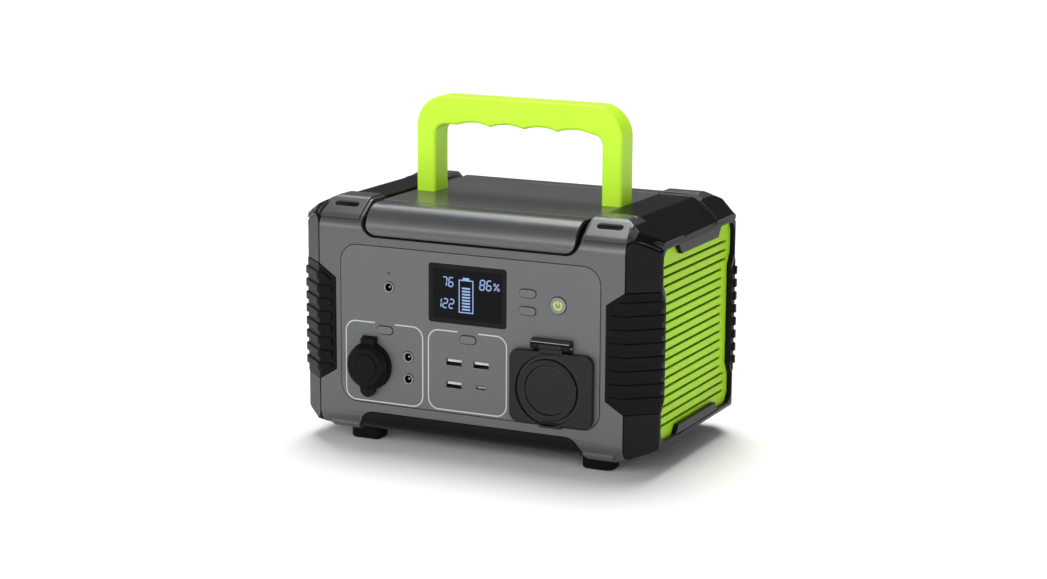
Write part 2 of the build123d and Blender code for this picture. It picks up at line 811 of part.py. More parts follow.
# ---------------------------------------------------------------- control panel
USB_A_W = 13.1
USB_A_H = 5.7
USB_A_WALL = 0.35
USB_C_W = 8.9
USB_C_H = 3.2
USB_C_WALL = 0.3
USB_BACK_WALL = 2.0
JACK_SLEEVE_R = 4.0
JACK_BORE_R = 2.8
SOCKET_BORE_R = 10.6
SOCKET_BARREL_R = 13.0
SOCKET_FLANGE_R = 14.0
OUTLET_BOX_W = 44.0
OUTLET_BOX_H = 40.0
LED_R = 0.9

with BuildPart() as control_panel:
    with BuildSketch(front_plane(PANEL_THICK)):
        with Locations((0, PANEL_MID_Z)):
            RectangleRounded(2 * PANEL_HALF_W, PANEL_H, PANEL_CORNER_R)
        with Locations((0, SCREEN_Z)):
            RectangleRounded(SCREEN_W + 0.4, SCREEN_H + 0.4, 2.2, mode=Mode.SUBTRACT)
        with Locations(POWER_AT):
            Circle(POWER_R + BUTTON_GAP, mode=Mode.SUBTRACT)
        with Locations(*PILLS.values()):
            SlotOverall(PILL_W + 2 * BUTTON_GAP, PILL_H + 2 * BUTTON_GAP, mode=Mode.SUBTRACT)
        with Locations(*DC_JACKS):
            Circle(JACK_SLEEVE_R + 0.1, mode=Mode.SUBTRACT)
        with Locations(CHARGE_LED):
            Circle(LED_R + 0.1, mode=Mode.SUBTRACT)
        with Locations(*USB_A_PORTS):
            Rectangle(USB_A_W + 0.3, USB_A_H + 0.3, mode=Mode.SUBTRACT)
        with Locations(USB_C_PORT):
            SlotOverall(USB_C_W + 0.3, USB_C_H + 0.3, mode=Mode.SUBTRACT)
        with Locations(SOCKET_AT):
            Circle(SOCKET_BARREL_R + 0.1, mode=Mode.SUBTRACT)
        with Locations(OUTLET_AT):
            RectangleRounded(OUTLET_BOX_W + 0.3, OUTLET_BOX_H + 0.3, 5.0, mode=Mode.SUBTRACT)
    extrude(amount=PANEL_THICK)
save(control_panel.part, "control_panel")

with BuildPart() as screen_window:
    with BuildSketch(front_plane(PANEL_THICK)):
        with Locations((0, SCREEN_Z)):
            RectangleRounded(SCREEN_W, SCREEN_H, 2.0)
    extrude(amount=PANEL_THICK - 0.1)
save(screen_window.part, "screen_window")

LCD_THICK = 4.5

with BuildPart() as lcd_module:
    with BuildSketch(front_plane(PANEL_THICK + 0.1 + LCD_THICK)):
        with Locations((0, SCREEN_Z)):
            Rectangle(SCREEN_W + 5.0, SCREEN_H + 4.0)
    extrude(amount=LCD_THICK)
    with BuildSketch(front_plane(PANEL_THICK + 0.1)):
        with Locations((0, SCREEN_Z)):
            Rectangle(SCREEN_W - 4.0, SCREEN_H - 4.0)
    extrude(amount=-0.5, mode=Mode.SUBTRACT)
save(lcd_module.part, "lcd_module")

# ---------------------------------------------------------------- buttons
FLANGE_GAP = 0.15  # a released button's flange rests this far behind the panel
FLANGE_THICK = 0.9
STEM_R = 1.6
SWITCH_DEPTH = 8.6  # face of a tact switch's plunger, behind the front face


def button_depths():
    """Depths of a button's crown, flange and stem end, behind the front face."""
    flange = PANEL_THICK + FLANGE_GAP
    return -BUTTON_PROUD, flange, SWITCH_DEPTH - BUTTON_TRAVEL - 0.2


CROWN, FLANGE, STEM_END = button_depths()

with BuildPart() as power_button:
    with BuildSketch(front_plane(FLANGE)):
        with Locations(POWER_AT):
            Circle(POWER_R)
    extrude(amount=FLANGE - CROWN)
    rim = power_button.edges().group_by(Axis.Y)[0]
    chamfer(rim, length=0.4)
    # Shallow dish for a finger tip
    with BuildSketch(front_plane(CROWN)):
        with Locations(POWER_AT):
            Circle(POWER_R - 1.4)
    extrude(amount=-0.25, mode=Mode.SUBTRACT)
    with BuildSketch(front_plane(FLANGE + FLANGE_THICK)):
        with Locations(POWER_AT):
            Circle(POWER_R + 1.2)
    extrude(amount=FLANGE_THICK)
    with BuildSketch(front_plane(STEM_END)):
        with Locations(POWER_AT):
            Circle(STEM_R)
    extrude(amount=STEM_END - FLANGE)
save(power_button.part, "power_button")

for pill_name, pill_at in PILLS.items():
    with BuildPart() as pill:
        with BuildSketch(front_plane(FLANGE)):
            with Locations(pill_at):
                SlotOverall(PILL_W, PILL_H)
        extrude(amount=FLANGE - CROWN)
        chamfer(pill.edges().group_by(Axis.Y)[0], length=0.35)
        with BuildSketch(front_plane(FLANGE + FLANGE_THICK)):
            with Locations(pill_at):
                SlotOverall(PILL_W + 2.2, PILL_H + 2.2)
        extrude(amount=FLANGE_THICK)
        with BuildSketch(front_plane(STEM_END)):
            with Locations(pill_at):
                Circle(STEM_R)
        extrude(amount=STEM_END - FLANGE)
    save(pill.part, pill_name)

# ---------------------------------------------------------------- ports
with BuildPart() as charge_indicator:
    with BuildSketch(front_plane(BOARD_Y - FRONT_Y)):
        with Locations(CHARGE_LED):
            Circle(LED_R)
    extrude(amount=BOARD_Y - FRONT_Y)
save(charge_indicator.part, "charge_indicator")

JACK_DEPTH = 9.5
BODY_BACK = BOARD_Y - FRONT_Y

with BuildPart() as dc_jack_bodies:
    with BuildSketch(front_plane(BODY_BACK)):
        with Locations(*DC_JACKS):
            Rectangle(10.0, 10.5)
    extrude(amount=BODY_BACK - PANEL_THICK - 0.1)
    with BuildSketch(front_plane(PANEL_THICK)):
        with Locations(*DC_JACKS):
            Circle(JACK_SLEEVE_R + 0.02)
    extrude(amount=-(JACK_DEPTH - PANEL_THICK), mode=Mode.SUBTRACT)
save(dc_jack_bodies.part, "dc_jack_bodies")

with BuildPart() as dc_jack_sleeves:
    with BuildSketch(front_plane(JACK_DEPTH)):
        with Locations(*DC_JACKS):
            Circle(JACK_SLEEVE_R)
            Circle(JACK_BORE_R, mode=Mode.SUBTRACT)
    extrude(amount=JACK_DEPTH + 0.7)
    chamfer(dc_jack_sleeves.edges().group_by(Axis.Y)[0], length=0.25)
save(dc_jack_sleeves.part, "dc_jack_sleeves")

with BuildPart() as dc_jack_pins:
    with BuildSketch(front_plane(JACK_DEPTH)):
        with Locations(*DC_JACKS):
            Circle(1.05)
    extrude(amount=JACK_DEPTH - 0.8)
    fillet(dc_jack_pins.edges().group_by(Axis.Y)[0], radius=0.6)
save(dc_jack_pins.part, "dc_jack_pins")

with BuildPart() as usb_shells:
    # Three USB-A shells and one USB-C shell, each a sheet-metal sleeve on a closed back
    with BuildSketch(front_plane(BODY_BACK)):
        with Locations(*USB_A_PORTS):
            Rectangle(USB_A_W, USB_A_H)
        with Locations(USB_C_PORT):
            SlotOverall(USB_C_W, USB_C_H)
    extrude(amount=BODY_BACK)
    with BuildSketch(front_plane(BODY_BACK - USB_BACK_WALL)):
        with Locations(*USB_A_PORTS):
            Rectangle(USB_A_W - 2 * USB_A_WALL, USB_A_H - 2 * USB_A_WALL)
        with Locations(USB_C_PORT):
            SlotOverall(USB_C_W - 2 * USB_C_WALL, USB_C_H - 2 * USB_C_WALL)
    extrude(amount=BODY_BACK, mode=Mode.SUBTRACT)
save(usb_shells.part, "usb_shells")

with BuildPart() as usb_tongues:
    with BuildSketch(front_plane(BODY_BACK - USB_BACK_WALL)):
        with Locations(*[(x, z + 1.0) for x, z in USB_A_PORTS]):
            Rectangle(11.0, 1.8)
        with Locations(USB_C_PORT):
            RectangleRounded(6.7, 0.7, 0.3)
    extrude(amount=BODY_BACK - USB_BACK_WALL - 1.2)
save(usb_tongues.part, "usb_tongues")

# ---------------------------------------------------------------- 12 V car socket and its cap
SOCKET_DEPTH = 38.0
SOCKET_FLOOR = 3.0
CONTACT_R = 3.6
SOCKET_LIP = 1.4
RING_R = 17.4
RING_IN_R = 14.1
RING_THICK = 2.2
CAP_R = 16.5
CAP_BACK = 2.5  # the cap's back lies this far in front of the panel
CAP_FRONT = PROUD
CAP_HINGE_Z = SOCKET_AT[1] + 20.6
TAB_W = 11.8

with BuildPart() as car_socket_barrel:
    with BuildSketch(front_plane(SOCKET_DEPTH + SOCKET_FLOOR)):
        with Locations(SOCKET_AT):
            Circle(SOCKET_BARREL_R)
    extrude(amount=SOCKET_DEPTH + SOCKET_FLOOR)
    with BuildSketch(front_plane(0)):
        with Locations(SOCKET_AT):
            Circle(SOCKET_FLANGE_R)
    extrude(amount=SOCKET_LIP)
    chamfer(car_socket_barrel.edges().group_by(Axis.Y)[0], length=0.5)
    with BuildSketch(front_plane(SOCKET_DEPTH)):
        with Locations(SOCKET_AT):
            Circle(SOCKET_BORE_R)
    extrude(amount=SOCKET_DEPTH + SOCKET_LIP, mode=Mode.SUBTRACT)
    # Seat of the middle contact in the socket's floor
    with BuildSketch(front_plane(SOCKET_DEPTH + SOCKET_FLOOR)):
        with Locations(SOCKET_AT):
            Circle(CONTACT_R)
    extrude(amount=SOCKET_FLOOR, mode=Mode.SUBTRACT)
save(car_socket_barrel.part, "car_socket_barrel")

with BuildPart() as car_socket_contact:
    with BuildSketch(front_plane(SOCKET_DEPTH + SOCKET_FLOOR)):
        with Locations(SOCKET_AT):
            Circle(CONTACT_R)
    extrude(amount=SOCKET_FLOOR - 0.2)
    fillet(car_socket_contact.edges().group_by(Axis.Y)[0], radius=0.8)
save(car_socket_contact.part, "car_socket_contact")

with BuildPart() as car_cap_ring:
    with BuildSketch(front_plane(0)):
        with Locations(SOCKET_AT):
            Circle(RING_R)
        with Locations((SOCKET_AT[0], CAP_HINGE_Z - 4.5)):
            Rectangle(TAB_W, 11.0)
        with Locations(SOCKET_AT):
            Circle(RING_IN_R, mode=Mode.SUBTRACT)
    extrude(amount=RING_THICK)
    chamfer(car_cap_ring.edges().group_by(Axis.Y)[0], length=0.5)
save(car_cap_ring.part, "car_cap_ring")

with BuildPart() as car_socket_cap:
    # Dome: a disc, a bevelled shoulder and a raised face
    with BuildSketch(front_plane(-CAP_BACK)):
        with Locations(SOCKET_AT):
            Circle(CAP_R)
    extrude(amount=3.0)
    with BuildSketch(front_plane(-CAP_BACK - 3.0)):
        with Locations(SOCKET_AT):
            Circle(CAP_R)
    extrude(amount=3.5, taper=42.0)
    with BuildSketch(front_plane(-CAP_BACK - 6.5)):
        with Locations(SOCKET_AT):
            Circle(9.5)
    extrude(amount=CAP_FRONT - CAP_BACK - 6.5)
    fillet(car_socket_cap.edges().group_by(Axis.Y)[0], radius=0.6)
    # Tab up to the hinge line, and the pull tab at the bottom
    with BuildSketch(front_plane(-CAP_BACK)):
        with Locations((SOCKET_AT[0], SOCKET_AT[1] + 15.2)):
            Rectangle(TAB_W - 0.4, 10.4)
    extrude(amount=2.4)
    with BuildSketch(front_plane(-CAP_BACK)):
        with Locations((SOCKET_AT[0], SOCKET_AT[1] - 15.0)):
            SlotOverall(15.0, TAB_W, rotation=90)
    extrude(amount=3.2)
    # Low sealing bead that faces the socket's lip
    with BuildSketch(front_plane(-CAP_BACK)):
        with Locations(SOCKET_AT):
            Circle(12.8)
            Circle(11.4, mode=Mode.SUBTRACT)
    extrude(amount=-0.6)
save(car_socket_cap.part, "car_socket_cap")

# ---------------------------------------------------------------- AC outlet and its flap
FLAP_W = 63.5
FLAP_H = 52.5
FLAP_Z = 60.25
FLAP_THICK = 4.0
FLAP_BACK = 0.9  # gap behind the flap
HINGE_Z = 90.2
HINGE_DEPTH = -3.3
KNUCKLE_R = 2.7
HINGE_PIN_R = 1.1
HINGE_HALF = 15.2
KNUCKLE_SPLIT = 9.0

with BuildPart() as ac_outlet_frame:
    with BuildSketch(front_plane(24.0)):
        with Locations(OUTLET_AT):
            RectangleRounded(OUTLET_BOX_W, OUTLET_BOX_H, 4.8)
    extrude(amount=24.0)
    with BuildSketch(front_plane(0)):
        with Locations(OUTLET_AT):
            RectangleRounded(OUTLET_BOX_W + 5.0, OUTLET_BOX_H + 5.0, 6.0)
    extrude(amount=0.6)
    with BuildSketch(front_plane(21.0)):
        with Locations(OUTLET_AT):
            RectangleRounded(OUTLET_BOX_W - 4.0, OUTLET_BOX_H - 4.0, 3.0)
    extrude(amount=30.0, mode=Mode.SUBTRACT)
    # Fixed knuckles of the flap's hinge, on a plate screwed through the panel
    with BuildSketch(Plane.YZ.offset(OUTLET_AT[0] - HINGE_HALF)):
        with Locations((at_depth(HINGE_DEPTH), HINGE_Z)):
            Circle(KNUCKLE_R)
        with Locations((at_depth(-0.7), HINGE_Z)):
            Rectangle(1.4, 2 * KNUCKLE_R)
    extrude(amount=HINGE_HALF - KNUCKLE_SPLIT)
    with BuildSketch(Plane.YZ.offset(OUTLET_AT[0] + KNUCKLE_SPLIT)):
        with Locations((at_depth(HINGE_DEPTH), HINGE_Z)):
            Circle(KNUCKLE_R)
        with Locations((at_depth(-0.7), HINGE_Z)):
            Rectangle(1.4, 2 * KNUCKLE_R)
    extrude(amount=HINGE_HALF - KNUCKLE_SPLIT)
    with BuildSketch(front_plane(0)):
        with Locations((OUTLET_AT[0], (HINGE_Z + OUTLET_AT[1] + OUTLET_BOX_H / 2) / 2)):
            Rectangle(2 * HINGE_HALF, HINGE_Z + KNUCKLE_R - OUTLET_AT[1] - OUTLET_BOX_H / 2)
    extrude(amount=0.5)
    with BuildSketch(Plane.YZ.offset(OUTLET_AT[0])):
        with Locations((at_depth(HINGE_DEPTH), HINGE_Z)):
            Circle(HINGE_PIN_R + 0.03)
    extrude(amount=40.0, both=True, mode=Mode.SUBTRACT)
save(ac_outlet_frame.part, "ac_outlet_frame")

BLADE_X = 6.35
FACE_DEPTH = 5.0

with BuildPart() as ac_receptacle:
    with BuildSketch(front_plane(20.8)):
        with Locations(OUTLET_AT):
            RectangleRounded(OUTLET_BOX_W - 4.3, OUTLET_BOX_H - 4.3, 2.8)
    extrude(amount=20.8 - FACE_DEPTH)
    with BuildSketch(front_plane(FACE_DEPTH)):
        with Locations(OUTLET_AT):
            Circle(16.5)
    extrude(amount=1.5)
    with BuildSketch(front_plane(FACE_DEPTH - 1.5)):
        with Locations((OUTLET_AT[0] - BLADE_X, OUTLET_AT[1] + 3.0)):
            Rectangle(2.2, 8.6)
        with Locations((OUTLET_AT[0] + BLADE_X, OUTLET_AT[1] + 3.0)):
            Rectangle(2.2, 7.0)
        with Locations((OUTLET_AT[0], OUTLET_AT[1] - 8.9)):
            Circle(2.7)
    extrude(amount=-14.0, mode=Mode.SUBTRACT)
save(ac_receptacle.part, "ac_receptacle")

with BuildPart() as ac_contacts:
    with BuildSketch(front_plane(FACE_DEPTH + 12.4)):
        with Locations((OUTLET_AT[0] - BLADE_X, OUTLET_AT[1] + 3.0)):
            Rectangle(2.0, 8.2)
        with Locations((OUTLET_AT[0] + BLADE_X, OUTLET_AT[1] + 3.0)):
            Rectangle(2.0, 6.6)
        with Locations((OUTLET_AT[0], OUTLET_AT[1] - 8.9)):
            Circle(2.5)
    extrude(amount=4.0)
save(ac_contacts.part, "ac_contacts")

with BuildPart() as ac_flap:
    with BuildSketch(front_plane(-FLAP_BACK)):
        with Locations((OUTLET_AT[0], FLAP_Z)):
            RectangleRounded(FLAP_W, FLAP_H, 7.0)
        with Locations((OUTLET_AT[0], FLAP_Z - FLAP_H / 2)):
            Rectangle(17.0, 3.6)
    extrude(amount=FLAP_THICK)
    chamfer(ac_flap.edges().group_by(Axis.Y)[0], length=0.6)
    # Round groove, raised ring and recessed middle disc
    with BuildSketch(front_plane(-FLAP_BACK - FLAP_THICK)):
        with Locations((OUTLET_AT[0] - 1.75, OUTLET_AT[1])):
            Circle(25.0)
            Circle(21.8, mode=Mode.SUBTRACT)
    extrude(amount=-1.4, mode=Mode.SUBTRACT)
    with BuildSketch(front_plane(-FLAP_BACK - FLAP_THICK)):
        with Locations((OUTLET_AT[0] - 1.75, OUTLET_AT[1])):
            Circle(17.6)
    extrude(amount=-1.2, mode=Mode.SUBTRACT)
    # Moving knuckle and the web that joins it to the flap
    with BuildSketch(Plane.YZ.offset(OUTLET_AT[0] - KNUCKLE_SPLIT + 0.3)):
        with Locations((at_depth(HINGE_DEPTH), HINGE_Z)):
            Circle(KNUCKLE_R)
        with Locations((at_depth(HINGE_DEPTH), HINGE_Z - 3.0)):
            Rectangle(3.2, 5.0)
    extrude(amount=2 * KNUCKLE_SPLIT - 0.6)
    with BuildSketch(Plane.YZ.offset(OUTLET_AT[0])):
        with Locations((at_depth(HINGE_DEPTH), HINGE_Z)):
            Circle(HINGE_PIN_R + 0.05)
    extrude(amount=40.0, both=True, mode=Mode.SUBTRACT)
save(ac_flap.part, "ac_flap")

with BuildPart() as ac_hinge_pin:
    with BuildSketch(Plane.YZ.offset(OUTLET_AT[0] - HINGE_HALF - 0.6)):
        with Locations((at_depth(HINGE_DEPTH), HINGE_Z)):
            Circle(HINGE_PIN_R)
    extrude(amount=2 * HINGE_HALF + 1.2)
    chamfer(ac_hinge_pin.edges().filter_by(GeomType.CIRCLE), length=0.2)
save(ac_hinge_pin.part, "ac_hinge_pin")

# ---------------------------------------------------------------- control board
with BuildPart() as control_board:
    with BuildSketch(front_plane(BODY_BACK + BOARD_THICK)):
        with BuildLine():
            Polyline(
                (-97.0, 37.0),
                (34.0, 37.0),
                (34.0, 93.0),
                (97.0, 93.0),
                (97.0, 143.0),
                (-97.0, 143.0),
                close=True,
            )
        make_face()
        with Locations(SOCKET_AT):
            Circle(SOCKET_BARREL_R + 1.0, mode=Mode.SUBTRACT)
    extrude(amount=BOARD_THICK)
save(control_board.part, "control_board")

BUTTON_PLACES = [POWER_AT] + list(PILLS.values())

with BuildPart() as tact_switches:
    with BuildSketch(front_plane(BODY_BACK)):
        with Locations(*BUTTON_PLACES):
            Rectangle(6.0, 6.0)
    extrude(amount=BODY_BACK - SWITCH_DEPTH - 2.5)
    with BuildSketch(front_plane(SWITCH_DEPTH + 2.5)):
        with Locations(*BUTTON_PLACES):
            Circle(1.7)
    extrude(amount=2.5)
save(tact_switches.part, "tact_switches")

# ---------------------------------------------------------------- battery pack
CELLS = [
    ((col - (CELL_COLUMNS - 1) / 2) * CELL_PITCH, PACK_Y + (row - (CELL_ROWS - 1) / 2) * CELL_PITCH)
    for col in range(CELL_COLUMNS)
    for row in range(CELL_ROWS)
]
PACK_W = CELL_COLUMNS * CELL_PITCH + 3.0
PACK_L = CELL_ROWS * CELL_PITCH + 3.0
CELL_HIGH_Z = CELL_LOW_Z + CELL_LEN
HOLDER_H = 8.0
HOLDER_LIP = 2.0

with BuildPart() as battery_cells:
    with BuildSketch(Plane.XY.offset(CELL_LOW_Z)):
        with Locations(*CELLS):
            Circle(CELL_R)
    extrude(amount=CELL_LEN)
save(battery_cells.part, "battery_cells")


def cell_holder(cup_z, lip_z):
    """A tray with a cup for each cell end and a hole through each cup's floor."""
    low_z = min(cup_z, lip_z)
    with BuildPart() as holder:
        with BuildSketch(Plane.XY.offset(low_z)):
            with Locations((0, PACK_Y)):
                RectangleRounded(PACK_W, PACK_L, 4.0)
            with Locations(*CELLS):
                Circle(CELL_R - 2.6, mode=Mode.SUBTRACT)
        extrude(amount=HOLDER_H + HOLDER_LIP)
        with BuildSketch(Plane.XY.offset(cup_z)):
            with Locations(*CELLS):
                Circle(CELL_R + 0.05)
        extrude(amount=HOLDER_H, mode=Mode.SUBTRACT)
    return holder.part


save(cell_holder(CELL_LOW_Z, CELL_LOW_Z - HOLDER_LIP), "lower_cell_holder")
save(cell_holder(CELL_HIGH_Z - HOLDER_H, CELL_HIGH_Z), "upper_cell_holder")

with BuildPart() as nickel_strips:
    for strip_z in (CELL_LOW_Z - HOLDER_LIP - 0.5, CELL_HIGH_Z + HOLDER_LIP):
        with BuildSketch(Plane.XY.offset(strip_z)):
            for pair in range(CELL_COLUMNS // 2):
                pair_x = (2 * pair + 0.5 - (CELL_COLUMNS - 1) / 2) * CELL_PITCH
                with Locations((pair_x, PACK_Y)):
                    Rectangle(CELL_PITCH + 9.0, PACK_L - 14.0)
        extrude(amount=0.5)
save(nickel_strips.part, "nickel_strips")

with BuildPart() as battery_management_board:
    with BuildSketch(Plane.YZ.offset(-PACK_W / 2 - 8.0)):
        with Locations((PACK_Y, 52.0)):
            Rectangle(84.0, 44.0)
    extrude(amount=BOARD_THICK)
save(battery_management_board.part, "battery_management_board")

# ---------------------------------------------------------------- inverter
INVERTER_Z = 96.0
INVERTER_Y = MID_Y + 9.0
INVERTER_TOP = INVERTER_Z + BOARD_THICK
STANDOFFS = [
    (x_side * 88.0, INVERTER_Y + y_side * 50.0) for x_side in (-1, 1) for y_side in (-1, 1)
]

with BuildPart() as inverter_board:
    with BuildSketch(Plane.XY.offset(INVERTER_Z)):
        with Locations((0, INVERTER_Y)):
            Rectangle(188.0, 112.0)
        with Locations(*STANDOFFS):
            Circle(1.7, mode=Mode.SUBTRACT)
    extrude(amount=BOARD_THICK)
save(inverter_board.part, "inverter_board")

with BuildPart() as board_standoffs:
    with BuildSketch(Plane.XY.offset(BASE_Z + WALL)):
        with Locations(*STANDOFFS):
            RegularPolygon(3.6, 6)
    extrude(amount=INVERTER_Z - BASE_Z - WALL)
save(board_standoffs.part, "board_standoffs")

TRANSFORMER_AT = (-36.0, INVERTER_Y + 18.0)
CORE_H = 34.0

with BuildPart() as transformer_core:
    with BuildSketch(Plane.XY.offset(INVERTER_TOP)):
        with Locations(TRANSFORMER_AT):
            Rectangle(46.0, 40.0)
    extrude(amount=CORE_H)
    with BuildSketch(Plane.XZ.offset(-TRANSFORMER_AT[1] - 30.0)):
        for window_side in (-1, 1):
            with Locations((TRANSFORMER_AT[0] + window_side * 13.0, INVERTER_TOP + CORE_H / 2)):
                Rectangle(10.0, CORE_H - 14.0)
    extrude(amount=60.0, mode=Mode.SUBTRACT)
save(transformer_core.part, "transformer_core")

with BuildPart() as transformer_winding:
    with BuildSketch(Plane.XY.offset(INVERTER_TOP + 7.3)):
        with Locations(TRANSFORMER_AT):
            RectangleRounded(35.4, 50.0, 8.0)
            Rectangle(16.2, 40.2, mode=Mode.SUBTRACT)
    extrude(amount=CORE_H - 14.6)
save(transformer_winding.part, "transformer_winding")

CAPACITORS = [(26.0 + col * 21.0, INVERTER_Y + 34.0) for col in range(3)]

with BuildPart() as bulk_capacitors:
    with BuildSketch(Plane.XY.offset(INVERTER_TOP)):
        with Locations(*CAPACITORS):
            Circle(9.0)
    extrude(amount=36.0)
    chamfer(bulk_capacitors.edges().group_by(Axis.Z)[-1], length=0.8)
save(bulk_capacitors.part, "bulk_capacitors")

HEAT_SINK_AT = (38.0, INVERTER_Y - 12.0)
FIN_COUNT = 11

with BuildPart() as heat_sink:
    with BuildSketch(Plane.XY.offset(INVERTER_TOP)):
        with Locations(HEAT_SINK_AT):
            Rectangle(84.0, 42.0)
    extrude(amount=5.0)
    with BuildSketch(Plane.XY.offset(INVERTER_TOP + 5.0)):
        with Locations(HEAT_SINK_AT):
            with GridLocations(0, 4.0, 1, FIN_COUNT):
                Rectangle(84.0, 1.4)
    extrude(amount=26.0)
save(heat_sink.part, "heat_sink")

# ---------------------------------------------------------------- fans
FAN_BORE_R = 28.6
HUB_R = 13.0
BLADE_R = 27.4
BLADE_COUNT = 7
FAN_LOW_X = FAN_X - FAN_THICK / 2

with BuildPart() as right_fan_frame:
    with BuildSketch(Plane.YZ.offset(FAN_LOW_X)):
        with Locations((MID_Y, FAN_Z)):
            RectangleRounded(FAN_SIZE, FAN_SIZE, 3.0)
            Circle(FAN_BORE_R, mode=Mode.SUBTRACT)
            with GridLocations(50.0, 50.0, 2, 2):
                Circle(2.1, mode=Mode.SUBTRACT)
    extrude(amount=FAN_THICK)
    # Motor seat on four struts at the inner end
    with BuildSketch(Plane.YZ.offset(FAN_LOW_X)):
        with Locations((MID_Y, FAN_Z)):
            Circle(HUB_R)
            Rectangle(2 * FAN_BORE_R + 1.0, 2.4)
            Rectangle(2.4, 2 * FAN_BORE_R + 1.0)
    extrude(amount=2.5)
    with BuildSketch(Plane.YZ.offset(FAN_LOW_X + 2.5)):
        with Locations((MID_Y, FAN_Z)):
            Circle(1.5)
    extrude(amount=8.0)
save(right_fan_frame.part, "right_fan_frame")

with BuildPart() as right_fan_rotor:
    with BuildSketch(Plane.YZ.offset(FAN_LOW_X + 3.0)):
        with Locations((MID_Y, FAN_Z)):
            Circle(HUB_R)
    extrude(amount=10.5)
    for blade in range(BLADE_COUNT):
        turn = 360.0 / BLADE_COUNT * blade
        spoke = Plane(
            origin=(FAN_LOW_X + 8.2, MID_Y, FAN_Z),
            x_dir=(1, 0, 0),
            z_dir=(0, cos(radians(turn)), sin(radians(turn))),
        )
        with BuildSketch(spoke.offset(HUB_R - 1.5)):
            Rectangle(11.5, 1.3, rotation=38.0)
        extrude(amount=BLADE_R - HUB_R + 1.0)
    with BuildSketch(Plane.YZ.offset(FAN_LOW_X + 2.9)):
        with Locations((MID_Y, FAN_Z)):
            Circle(1.55)
    extrude(amount=8.2, mode=Mode.SUBTRACT)
save(right_fan_rotor.part, "right_fan_rotor")

with BuildPart() as left_fan_frame:
    mirror(right_fan_frame.part, about=Plane.YZ)
save(left_fan_frame.part, "left_fan_frame")

with BuildPart() as left_fan_rotor:
    mirror(right_fan_rotor.part, about=Plane.YZ)
save(left_fan_rotor.part, "left_fan_rotor")

# ---------------------------------------------------------------- case screws
CASE_SCREWS = [
    (x_side * 70.0, MID_Y + y_side * 60.0) for x_side in (-1, 1) for y_side in (-1, 1)
]

with BuildPart() as case_screws:
    with BuildSketch(Plane.XY.offset(BASE_Z - 1.6)):
        with Locations(*CASE_SCREWS):
            Circle(3.2)
    extrude(amount=1.6)
    with BuildSketch(Plane.XY.offset(BASE_Z - 1.6)):
        with Locations(*CASE_SCREWS):
            Rectangle(4.0, 0.9)
            Rectangle(0.9, 4.0)
    extrude(amount=1.0, mode=Mode.SUBTRACT)
save(case_screws.part, "case_screws")
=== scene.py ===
"""Looks of the portable power station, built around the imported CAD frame, in metres."""
import json
from math import cos, pi, radians, sin, tau

import bmesh
import bpy
from mathutils import Matrix, Vector


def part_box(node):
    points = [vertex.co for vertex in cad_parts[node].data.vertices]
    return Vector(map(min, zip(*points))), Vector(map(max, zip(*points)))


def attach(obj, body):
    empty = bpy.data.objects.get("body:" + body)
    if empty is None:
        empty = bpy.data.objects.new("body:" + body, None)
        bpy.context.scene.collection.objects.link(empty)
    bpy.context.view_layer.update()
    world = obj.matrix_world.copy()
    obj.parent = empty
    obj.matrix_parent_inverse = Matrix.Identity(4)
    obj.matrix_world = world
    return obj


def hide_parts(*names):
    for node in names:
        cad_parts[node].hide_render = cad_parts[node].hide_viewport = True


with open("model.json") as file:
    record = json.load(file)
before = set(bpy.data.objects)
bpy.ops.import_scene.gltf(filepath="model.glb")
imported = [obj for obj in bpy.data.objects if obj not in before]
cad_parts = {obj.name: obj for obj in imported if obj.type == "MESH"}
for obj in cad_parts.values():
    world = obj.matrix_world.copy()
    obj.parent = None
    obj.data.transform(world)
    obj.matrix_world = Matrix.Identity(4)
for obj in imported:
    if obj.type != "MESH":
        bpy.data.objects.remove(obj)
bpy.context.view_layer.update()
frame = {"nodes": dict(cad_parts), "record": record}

MM = 0.001
NODES = frame["nodes"]
RECORD = frame["record"]
SLOT_OF = {node: item.data.materials[0].name for node, item in NODES.items()}
BODY_OF = {n: body for body, members in RECORD["behaviour"]["bodies"].items() for n in members}


# ---------------------------------------------------------------- camera, floor and light
CAMERA_AT = (0.7424, -1.5384, 0.4603)
CAMERA_YAW = radians(25.65)
CAMERA_PITCH = radians(11.64)
CAMERA_ROLL = radians(0.365)
LENS = 81.76
BRIGHT_SIDE = (-0.35, -0.94, 0.0)  # the surroundings are brightest this way
# Brightness of the surroundings by height, from the horizon (0) to straight up (1)
SKY_STOPS = ((0.0, 0.55), (0.10, 0.35), (0.23, 3.60), (0.40, 0.50), (1.0, 0.14))
FLOOR_REACH = 14.0


def make_camera():
    """The viewing angle: from the right of the front, a little above."""
    data = bpy.data.cameras.new("camera")
    data.lens = LENS
    data.sensor_width = 36.0
    data.clip_start = 0.05
    data.clip_end = 60.0
    camera = bpy.data.objects.new("camera", data)
    bpy.context.scene.collection.objects.link(camera)
    turn = Matrix.Rotation(CAMERA_YAW, 4, "Z")
    tilt = Matrix.Rotation(pi / 2 - CAMERA_PITCH, 4, "X")
    roll = Matrix.Rotation(CAMERA_ROLL, 4, "Z")
    camera.matrix_world = Matrix.Translation(CAMERA_AT) @ turn @ tilt @ roll
    bpy.context.scene.camera = camera


